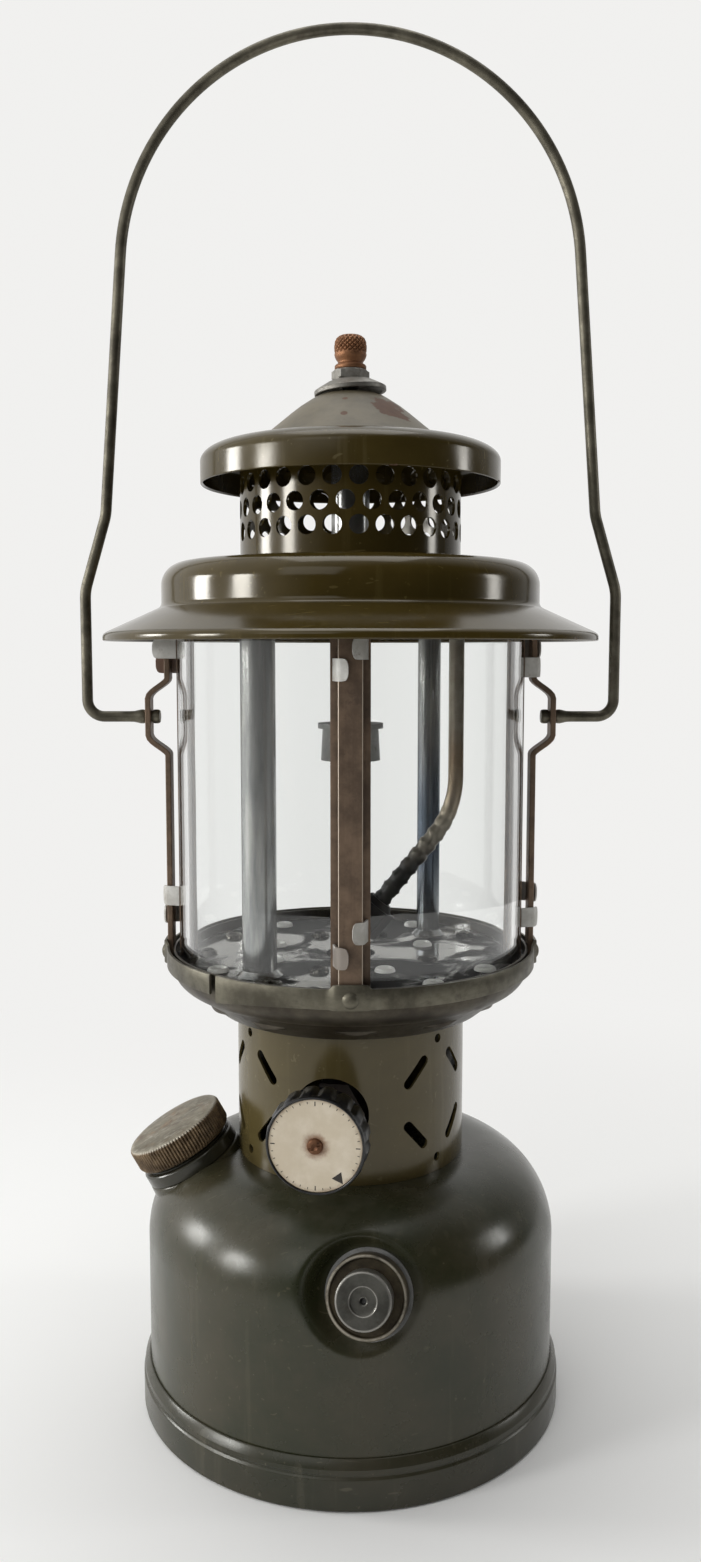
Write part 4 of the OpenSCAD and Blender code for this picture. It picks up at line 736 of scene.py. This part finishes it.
STEM_R, WHEEL_R, WHEEL_GRIPS, SCREW_HOLE, DIAL_R, DIAL_FACE = 2.55, 13.8, 16, 1.45, 12.7, 56.55
wheel_line = [(STEM_R, 42.5), (5.2, 42.5), (5.5, 42.8), (5.5, 47.3), (5.8, 47.5), (12.4, 47.5), (13.1, 47.8),
              (13.6, 48.4), (WHEEL_R, 49.2), (WHEEL_R, 52), (WHEEL_R, 54.4), (13.65, 55.2), (13.4, 55.6),
              (13.4, 56.5), (13.25, 56.9), (13.1, 57.0), (12.95, 57.0), (12.75, 56.85), (12.75, 55.7),
              (SCREW_HOLE, 55.7), (SCREW_HOLE, 53.05), (STEM_R, 53.05)]
wheel_grips = grooves(WHEEL_GRIPS, 47.9, 55.4, 12.8, lambda w: max(0, 1 - (1 - w) / 0.55) ** 0.8)
dial_line = [(SCREW_HOLE, 55.75), (DIAL_R, 55.75), (DIAL_R, 56.45), (12.5, DIAL_FACE),
             (SCREW_HOLE, DIAL_FACE)]
TICK_STEP, TICK_END, LONG_TICK, SHORT_TICK = 10, 12.1, (10.9, 0.15), (11.5, 0.1)
ARROW_AT, ARROW_ROOM = 307, 16


def dial_marks():
    """Bare ticks round the edge and one arrow head: the dial carries no words."""
    base = DIAL_FACE - 0.05
    parts = []
    for at in range(0, 360, TICK_STEP):
        if abs((at - ARROW_AT + 180) % 360 - 180) < ARROW_ROOM:
            continue
        start, half = SHORT_TICK if at % 90 else LONG_TICK
        tick = [(start, -half), (TICK_END, -half), (TICK_END, half), (start, half)]
        parts.append(turned(prism(tick, base, DIAL_FACE + 0.03), at))
    parts.append(turned(prism([(12.35, 0), (9.5, 1.6), (9.5, -1.6)], base, DIAL_FACE + 0.04), ARROW_AT))
    return joined(*parts)


def slotted_screw():
    """Domed head with a slot across it, on a plain shank."""
    slot_half, slot_floor, slot_at = 0.36, 57.1, rad(35)
    verts, faces = lathe([(0, 56.6), (2.15, 56.6), (2.15, 56.95), (2.0, 57.35), (1.55, 57.6), (0.9, 57.7),
                          (0, 57.72)], 64, closed=False)
    head = []
    for x, y, z in verts:
        off = abs(y * cos(slot_at) - x * sin(slot_at))
        head.append((x, y, min(z, slot_floor) if off < slot_half else z))
    shank = lathe([(0, 50), (1.4, 50), (1.4, 56.7), (0, 56.7)], 32, closed=False)
    return joined((head, faces), shank)


wheel = moved(lathe(wheel_line, WHEEL_GRIPS * 16, warp=wheel_grips), VALVE)
piece("handwheel", wheel, "valve_wheel", black, ["valve_knob"], 50)
piece("dial", spun(dial_line, 0.1, 128, VALVE), "valve_wheel", cream, ["knob_dial"])
piece("dial_marks", moved(dial_marks(), VALVE), "valve_wheel", ink)
piece("wheel_screw", moved(slotted_screw(), VALVE), "valve_wheel", copper, ["knob_screw"], 40)

# Bowl with its lanced lips, and the plate's eyelets

bowl_line = ([(32.2, COLLAR_TOP)] + arc(38.2, COLLAR_TOP + 4, 4, 4, 270, 300, 6)
             + arc(44.0, BAND_Z, 9.3, 7.2, -70, 0, 14) + [(53.3, 139.2)])
piece("bowl", spun(sheet(bowl_line, SHEET), 0.3, 192), "lantern", bowl_steel, ["globe_bowl"])

EYELETS_FROM = -44
eyelet = lathe([(1.85, 0.02), (1.85, 0.7), (2.0, 1.0), (2.3, 1.15), (2.65, 0.95), (2.9, 0.5), (3.0, 0.02)],
               40)
# Painted highlights: the listed eyelets on each ring are near white and stand for glints of light on their
# rims; the others take the plate's dark finish.
bright, sooty = [], []
for count, reach, glinting_at in ((8, 24.5, (1, 3, 6, 7)), (12, 43.5, (2, 3, 6, 8, 11))):
    for i in range(count):
        ring = moved(eyelet, Matrix.Translation((0, -reach, PLATE_Z)))
        (bright if i in glinting_at else sooty).append(turned(ring, EYELETS_FROM + (i + 0.5) * 360 / count))
piece("plate_eyelets", joined(*bright), "lantern", eyelet_glint_white, (), 60)
piece("plate_eyelets_sooty", joined(*sooty), "lantern", plate_steel, (), 60)

LOUVRE_R, LOUVRE_Z, LOUVRE_HALF, LOUVRE_LIFT = 43.7, 124.4, 7.5, 0.75
LOUVRE_SLOPE, LOUVRE_FROM, LOUVRE_STEP, LOUVRES = (0.778, 0.629), -31, 33, 11


def louvre(middle):
    """A lanced lip in the slope of the bowl: a ridge that runs out at both ends."""
    steps, loops = 16, []
    across, up = LOUVRE_SLOPE
    for i in range(steps + 1):
        t = -1 + 2 * i / steps
        h = LOUVRE_LIFT * (1 - t * t) + 0.02
        ridge = ((-1.2, -0.3), (-0.7, 0.55 * h), (0.1, h), (0.8, 0.35 * h), (1.1, -0.3))
        loops.append([spot(LOUVRE_R + across * along + up * out, rad(middle + LOUVRE_HALF * t),
                           LOUVRE_Z + up * along - across * out) for along, out in ridge])
    return skin(loops)


lips = joined(*[louvre(LOUVRE_FROM + LOUVRE_STEP * i) for i in range(LOUVRES)])
piece("bowl_louvres", lips, "lantern", bowl_steel, (), 40)

# Cage: band with a box over each post's foot and one open joint, posts and rivets

JOINT_AZ, JOINT_HALF, JOINT_SAG, SAG_STEPS = -43, 1.3, 2.0, 26
BOX_HALF, BOX_FALL, BOX_OUT, BOX_UP = 5.4, 1.1, 0.9, 1.4


def band():
    """The band, whose one end sags at the joint."""
    steps, loops = 300, []
    low, high = JOINT_AZ + JOINT_HALF, JOINT_AZ + 360 - JOINT_HALF
    for i in range(steps + 1):
        az = low + (high - low) * i / steps
        off_post = rad(abs((az + 45) % 90 - 45)) * BAND_R
        swell = smooth((BOX_HALF - off_post) / BOX_FALL)
        r, top = BAND_R + BOX_OUT * swell, BAND_Z + BAND_H + BOX_UP * swell
        low_z = BAND_Z - JOINT_SAG * max(0, 1 - i / SAG_STEPS) ** 2
        ring = ((r - SHEET, low_z), (r - 0.15, low_z), (r, low_z + 0.25), (r, top - 0.25), (r - 0.15, top),
                (r - SHEET, top))
        loops.append([spot(q, rad(az), z) for q, z in ring])
    return skin(loops)


def strap(line):
    """Post along (radius, height) points at the front, with softened long edges."""
    half, soft = POST_W / 2, 0.2
    loops = []
    for x, inset in ((-half, soft), (soft - half, 0), (half - soft, 0), (half, soft)):
        outline = beside(line, -inset) + beside(line, inset - POST_T)[::-1]
        loops.append([(x, -r, z) for r, z in outline])
    return skin(loops)


def rise(z0, z1, steps):
    return [(POST_IN, z0 + (z1 - z0) * i / steps) for i in range(steps + 1)]


def s_bend(r0, z0, r1, z1, steps=8):
    return [(r0 + (r1 - r0) * smooth(i / steps), z0 + (z1 - z0) * i / steps) for i in range(1, steps)]


EAR_LOW, EAR_HIGH = PIVOT - EAR_HALF, PIVOT + EAR_HALF
ear_path = (rise(BAND_Z, EAR_LOW - EAR_JOG, 6) + s_bend(POST_IN, EAR_LOW - EAR_JOG, EAR_IN, EAR_LOW)
            + [(EAR_IN, EAR_LOW), (EAR_IN, PIVOT), (EAR_IN, EAR_HIGH)]
            + s_bend(EAR_IN, EAR_HIGH, POST_IN, EAR_HIGH + EAR_JOG)
            + rise(EAR_HIGH + EAR_JOG, POST_TOP, 3))
plain_path = rise(BAND_Z, POST_TOP, 8)
rivet = moved(lathe([(0, 1.05), (0.7, 1.0), (1.4, 0.78), (1.95, 0.42), (2.25, 0.0), (1.2, -0.4), (0, -0.4)],
                    40, closed=False), Matrix.Rotation(rad(90), 4, "X"))
RIVETS = ((BAND_R + BOX_OUT + 0.05, BAND_Z + 2.8), (POST_OUT + 0.05, POST_TOP - 4))
rivets = [turned(moved(rivet, Matrix.Translation((0, -reach, z))), az)
          for az in (0, 90, 180, 270) for reach, z in RIVETS]

piece("band", band(), "lantern", band_steel, ["cage_band"], 45)
for name, az, path in (("front", 0, plain_path), ("back", 180, plain_path),
                       ("left", -90, ear_path), ("right", 90, ear_path)):
    piece("post_" + name, turned(strap(path), az), "lantern", brown, ["cage_post_" + name], 40)
piece("rivets", joined(*rivets), "lantern", band_steel, ["post_rivets"], 50)

# Panes with their tin edges and the tabs that hold them on the posts

PANE_GAP, PANE_EASE = 2.3, 0.15
TAB_HALF, TAB_ROOT, TAB_RISE, TAB_RUN, OPEN_SPREAD = 2.9, (4.65, 51.2), 54.9, 55.5, 2.9
FOLDED, OPEN = (3.7, 3.2, 2.3, 0.6), (4.1, 4.0, 3.7, 3.2)


def pane():
    """Curved pane to the right of the front post, with eased edges."""
    steps, start = 48, math.asin(PANE_GAP / PANE_MID)
    r0, r1, z0, z1, e = PANE_IN, PANE_OUT, PANE_LOW, PANE_HIGH, PANE_EASE
    ring = ((r0 + e, z0), (r1 - e, z0), (r1, z0 + e), (r1, z1 - e), (r1 - e, z1), (r0 + e, z1), (r0, z1 - e),
            (r0, z0 + e))
    turns = [start + (math.pi / 2 - 2 * start) * i / steps for i in range(steps + 1)]
    return skin([[spot(r, a, z) for r, z in ring] for a in turns])


def strip():
    """Folded tin edge of the pane to the right of the front post."""
    fold = [(STRIP_EDGE, STRIP_IN), (2.2, STRIP_IN), (1.9, PANE_IN), (1.9, PANE_OUT), (2.2, STRIP_OUT),
            (STRIP_EDGE, STRIP_OUT)]
    outline = [spot(r, t / PANE_MID, 0)[:2] for t, r in rounded(sheet(fold, -TIN), 0.2, 2)]
    return prism(outline, PANE_LOW, PANE_HIGH)


def tab(z, spread, across=FOLDED):
    """Tab that leaves the strip, leans over the post's edge and ends round. An open one stands out."""
    outward = (TAB_RISE, TAB_RUN, TAB_RUN + 0.35 * spread, TAB_RUN + spread)
    path = [TAB_ROOT] + list(zip(across, outward))
    middle, halves = [], []
    for s, width in ((0, 1), (1, 1), (2, 1), (3, 1), (3.5, 0.96), (3.75, 0.82), (3.92, 0.56), (4, 0.3)):
        i = min(int(s), len(path) - 2)
        middle.append(tuple(a + (b - a) * (s - i) for a, b in zip(path[i], path[i + 1])))
        halves.append(width * TAB_HALF)
    return skin([[(t, -r, z - h), (t, -r, z + h), (t2, -r2, z + h), (t2, -r2, z - h)]
                 for (t, r), (t2, r2), h in zip(middle, beside(middle, TIN), halves)])


for name, az in (("front_right", 0), ("back_right", 90), ("back_left", 180), ("front_left", 270)):
    high_left = tab(TAB_HIGH[0], OPEN_SPREAD, OPEN) if name == "front_left" else tab(TAB_HIGH[0], 1.2)
    high_right = tab(TAB_OPEN, OPEN_SPREAD, OPEN) if name == "back_left" else tab(TAB_HIGH[1], 0.9)
    left, right = joined(tab(TAB_LOW[0], 1.0), high_left), joined(tab(TAB_LOW[1], 1.1), high_right)
    edges = joined(strip(), turned(flipped(strip()), 90))
    tabs = joined(left, turned(flipped(right), 90))
    piece("glass_" + name, turned(pane(), az), "lantern", glass, ["glass_panel_" + name], 40)
    piece("strip_" + name, turned(edges, az), "lantern", brown, ["pane_frame_" + name], 45)
    piece("tabs_" + name, turned(tabs, az), "lantern", tin, (), 40)

# Burner: the generator. The other tubes and the nut keep their own shape

GENERATOR_R, GENERATOR_X, GENERATOR_TOP, CAKED_Z, CAKED_FALL = 2.3, 31.6, 243.3, 184, 14
generator_path = bend([(2.55, 0, 144.15), (GENERATOR_X, 0, 180.02), (GENERATOR_X, 0, GENERATOR_TOP),
                       (10.4, 0, GENERATOR_TOP)], [0, 28, 9, 0])


def crusted(p):
    """Radius of the generator at a point of its path, lumpy where soot has caked on it."""
    caked = max(0, min(1, (CAKED_Z - p.z) / CAKED_FALL))
    return GENERATOR_R + caked * (0.3 + 0.22 * sin(1.9 * p.z) + 0.14 * sin(4.3 * p.z + 1))


piece("generator", sweep(fine(generator_path, 0.8), crusted), "lantern", heat,
      ["generator_tube"], 60)

# Ventilator: hood, cap, and the stack on its stud

HOOD_FILLET = 6.5
hood_line = ([(BRIM_R - 0.3, BRIM_Z), (BRIM_R, BRIM_Z + 0.3)]
             + arc(BRIM_R - 4.5, BRIM_Z + 1.2, 4.5, 2.2, 0, 47, 10) + arc(57.3, 241.3, 2, 2, 245, 180, 8)
             + arc(48.8, HOOD_TOP - HOOD_FILLET, HOOD_FILLET, HOOD_FILLET, 0, 90, 14)
             + [(44, HOOD_TOP), (38, HOOD_TOP), (31.5, HOOD_TOP)])
cap_line = ([(CAP_R - 0.3, CAP_Z), (CAP_R, CAP_Z + 0.3)] + arc(CAP_R - 9.7, 281.6, 9.7, 4.95, 0, 88, 18)
            + [(31.2, 286.55), (29.4, 286.75), (28, 287.25), (26.6, 288.15), (23.7, 290.3), (20.7, 292.75),
               (17.8, 295.15), (14.9, 297.4), (11.6, 299.55), (10.2, 300.4), (9.0, 300.95), (7.6, CAP_TOP),
               (2.9, CAP_TOP)])
washer_line = [(10.5, 0), (10.5, 1.2), (9.6, 1.75), (8.0, 2.6), (6.4, 3.45), (5.4, 3.6), (3.25, 3.6)]
askew = Matrix.Translation((0, 0, CAP_TOP + 0.6)) @ Matrix.Rotation(rad(-4.5), 4, "Y")


def hex_nut(r, bore, z0, z1):
    """Hexagon nut with its corners turned down."""
    flat, bevel = r * cos(rad(30)), 0.14 * (z1 - z0)
    turns, loops = circle(96), []
    for z, limit in ((z0, flat), (z0 + bevel, r * 1.01), (z1 - bevel, r * 1.01), (z1, flat)):
        reach = [min(flat / cos(a % rad(60) - rad(30)), limit) for a in turns]
        loops.append([(q * cos(a), q * sin(a), z) for q, a in zip(reach, turns)])
    loops += [[(bore * cos(a), bore * sin(a), z) for a in turns] for z in (z1, z0)]
    return skin(loops, ends=False)


BALL_KNURLS, KNURL_LOW, KNURL_MID, KNURL_HIGH = 20, 313.1, 314.5, 317.5


def ball_knurl(r, z, a):
    """Crossed grooves on the upper half of the head."""
    if not KNURL_LOW < z < KNURL_HIGH or r < 2.6:
        return r
    n, slant = BALL_KNURLS / TURN, (z - KNURL_MID) * 0.75
    w = max(abs((a * n + slant) % 1 - 0.5), abs((a * n - slant) % 1 - 0.5))
    return r - 0.5 * max(0, w - 0.26) / 0.24


ball_line = ([(STUD_BORE, 308.25), (4.2, 308.25), (4.6, 308.5), (4.6, 309.4), (4.3, 309.75), (3.75, 309.95),
              (3.6, 310.25), (3.75, 310.7), (4.2, 311.3), (4.5, 311.9), (4.68, 312.6)]
             + [(4.75 - 0.02 * abs(i - 8), 313.0 + 0.2 * i) for i in range(17)]
             + [(4.45, 316.6), (4.25, 317.0), (3.95, 317.35), (3.5, 317.7), (3.0, 317.95), (2.4, 318.1),
                (1.2, 318.15), (0, 318.15), (0, 317.15), (STUD_BORE, 317.15)])
hood = spun(sheet(hood_line, SHEET), 0.3, 224)
cap = spun(sheet(cap_line, SHEET), 0.3, 224)
washer = spun(sheet(washer_line, 1.1), 0.25, 96, askew)
piece("hood", hood, "ventilator", enamel, ["ventilator_hood"], 50)
piece("vent_cap", cap, "ventilator", enamel_cone, ["ventilator_cap"], 50)
piece("dished_washer", washer, "ventilator", zinc, ["top_washer"], 40)
piece("stack_nut", hex_nut(5.5, STUD_BORE, 305.4, 308.2), "ventilator", zinc, ["lock_nut"], 25)
piece("ball_top", lathe(ball_line, BALL_KNURLS * 14, warp=ball_knurl), "top_nut", brass,
      ["ball_nut"], 60)

# Bail: one bent wire with its upset ends

BAIL_X, BAIL_END, BAIL_SIDE, ARCH_R, ARCH_Z, ARCH_STEPS = 78.3, 56.7, PIVOT + 37, 66.36, PIVOT + 128, 90
KINK = Vector((71.8, 0, PIVOT + 59))
UPSET = {BAIL_END: 1.75, 57.0: 2.0, 57.4: 2.1, 58.4: 2.1, 58.85: 1.95, 58.9: WIRE_R, 59.3: WIRE_R,
         60.7: WIRE_R, 61.12: WIRE_R, 61.2: 1.95, 61.7: 2.1, 62.4: 2.1, 63.3: 1.9, 64.4: 1.65, 66: WIRE_R,
         69: WIRE_R}


def bail_path():
    """From the right ear over the arch to the left ear."""
    gap = KINK - Vector((0, 0, ARCH_Z))
    start = math.atan2(gap.z, gap.x) + math.acos(ARCH_R / gap.length)
    turns = [start + (math.pi - 2 * start) * i / ARCH_STEPS for i in range(ARCH_STEPS)]
    arch = [Vector((ARCH_R * cos(a), 0, ARCH_Z + ARCH_R * sin(a))) for a in turns]
    side = bend([(BAIL_END, 0, PIVOT), (BAIL_X, 0, PIVOT), (BAIL_X, 0, BAIL_SIDE), KINK, arch[0]],
                [0, 5, 16, 16, 0], 14)
    right = [Vector((x, 0, PIVOT)) for x in UPSET]
    right += [p for p in fine(side, 3) if p.x > max(UPSET) + 1 or p.z > PIVOT + 1]
    return right + arch[1:] + [Vector((-p.x, 0, p.z)) for p in reversed(right)]


def bail_radius(p):
    return UPSET.get(round(abs(p.x), 2), WIRE_R) if abs(p.z - PIVOT) < 0.01 else WIRE_R


piece("bail_wire", sweep(bail_path(), bail_radius), "bail", wire, ["bail"], 50)

# Materials of the nodes that keep their shape

for material, names in ((skirt_olive, "fount_bottom"), (collar_olive, "collar"), (rubber, "filler_gasket"),
                        (pump_steel, "pump_barrel air_stem plunger_tube burner_cap"), (hide, "pump_leather"),
                        (dark_brass, "check_valve leather_retainer fuel_pickup valve_stem gas_tip"),
                        (valve_dark, "valve_body packing_nut"), (plate_steel, "burner_plate"),
                        (tubes, "air_tube support_tube manifold"), (soot, "generator_nut"),
                        (zinc, "center_stud"), (enamel, "ventilator_chimney"), (brown, "cage_top_ring")):
    for name in names.split():
        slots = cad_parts[name].data.materials
        slots.clear()
        slots.append(material)

# Floor: it takes the shadow near the lantern and fades into the white round it

WHITE, PALE = 0.88, (1.0, 0.995, 0.98, 1)
FLOOR_R, FADE_FROM, FADE_TO = 800, 130, 460
bpy.ops.mesh.primitive_circle_add(vertices=128, radius=FLOOR_R * MM, fill_type="NGON", location=(0, 0, 0))
floor = bpy.context.object
floor.name = "floor"
ground = Finish("pale_floor")
ground.set(Base_Color=(0.9, 0.9, 0.89, 1), Roughness=0.7)
ground.bump(ground.noise(600, 3), 0.02, 0.1)
far = ground.add("Emission", {"Color": PALE, "Strength": WHITE}).outputs[0]
faded = ground.ramp(ground.radius(), FADE_FROM, FADE_TO)
surface = ground.add("MixShader", {0: faded, 1: ground.bsdf.outputs[0], 2: far}).outputs[0]
ground.put(ground.tree.nodes["Material Output"].inputs["Surface"], surface)
floor.data.materials.append(ground.mat)

# World: white to look at, brightest on the left and behind, dimmer towards the camera's side

BRIGHT_WAY, EVEN_LEVEL, GLEAM, DARKEST = (-0.3, 0.34, 0.1), 0.46, 1.2, 0.02
scene = bpy.context.scene
scene.world = bpy.data.worlds.new("studio")
scene.world.use_nodes = True
sky = Nodes(scene.world.node_tree)
slope = sky.vector("DOT_PRODUCT", sky.add("TexCoord").outputs["Generated"], BRIGHT_WAY, "Value")
level = sky.math("ADD", slope, EVEN_LEVEL)
gleam = sky.math("ADD", level, sky.math("MULTIPLY", slope, GLEAM))
gleam = sky.add("Clamp", {0: gleam, 1: DARKEST, 2: WHITE}).outputs[0]
rays = sky.add("LightPath").outputs
direct = sky.math("LESS_THAN", rays["Glossy Depth"], 0.5)
through = sky.math("MULTIPLY", rays["Is Transmission Ray"], direct)
seen = sky.math("MAXIMUM", rays["Is Camera Ray"], through)
shine = sky.blend(rays["Is Glossy Ray"], level, gleam)
background = sky.tree.nodes["Background"].inputs
sky.put(background["Color"], PALE)
sky.put(background["Strength"], sky.blend(seen, shine, WHITE))

# Lamps and camera, in metres

LOOK_AT, LOW_AIM = (0, 0, 0.22), (0, 0, 0.2)
LENS, SENSOR, CAMERA_AT, CAMERA_DOWN = 29.13, 36, (0, -0.377, 0.2272), 5.856


def lamp(name, at, to, size, power):
    data = bpy.data.lights.new(name, "AREA")
    data.shape, data.energy = "RECTANGLE", power
    data.size, data.size_y = size
    obj = bpy.data.objects.new(name, data)
    obj.location = at
    obj.rotation_euler = (Vector(to) - Vector(at)).to_track_quat("-Z", "Y").to_euler()
    scene.collection.objects.link(obj)


lamp("window_front", (-1.05, -0.5, 0.415), LOOK_AT, (0.24, 0.28), 4.6)
lamp("window_back", (-1.16, 0.12, 0.415), LOOK_AT, (0.26, 0.28), 4.6)
lamp("fill_front", (-0.5, -1.1, 0.9), LOW_AIM, (0.8, 0.8), 1.8)
lamp("window_right", (1.1, 0.02, 0.43), LOOK_AT, (0.18, 0.28), 1.5)
lamp("top", (0, 0.1, 1.3), LOW_AIM, (0.8, 0.8), 4)

scene.view_settings.view_transform = "Standard"
camera = bpy.data.objects.new("camera", bpy.data.cameras.new("camera"))
scene.collection.objects.link(camera)
camera.data.lens, camera.data.sensor_width, camera.data.clip_start = LENS, SENSOR, 0.01
camera.location = CAMERA_AT
camera.rotation_euler = (rad(90 - CAMERA_DOWN), 0, 0)
scene.camera = camera
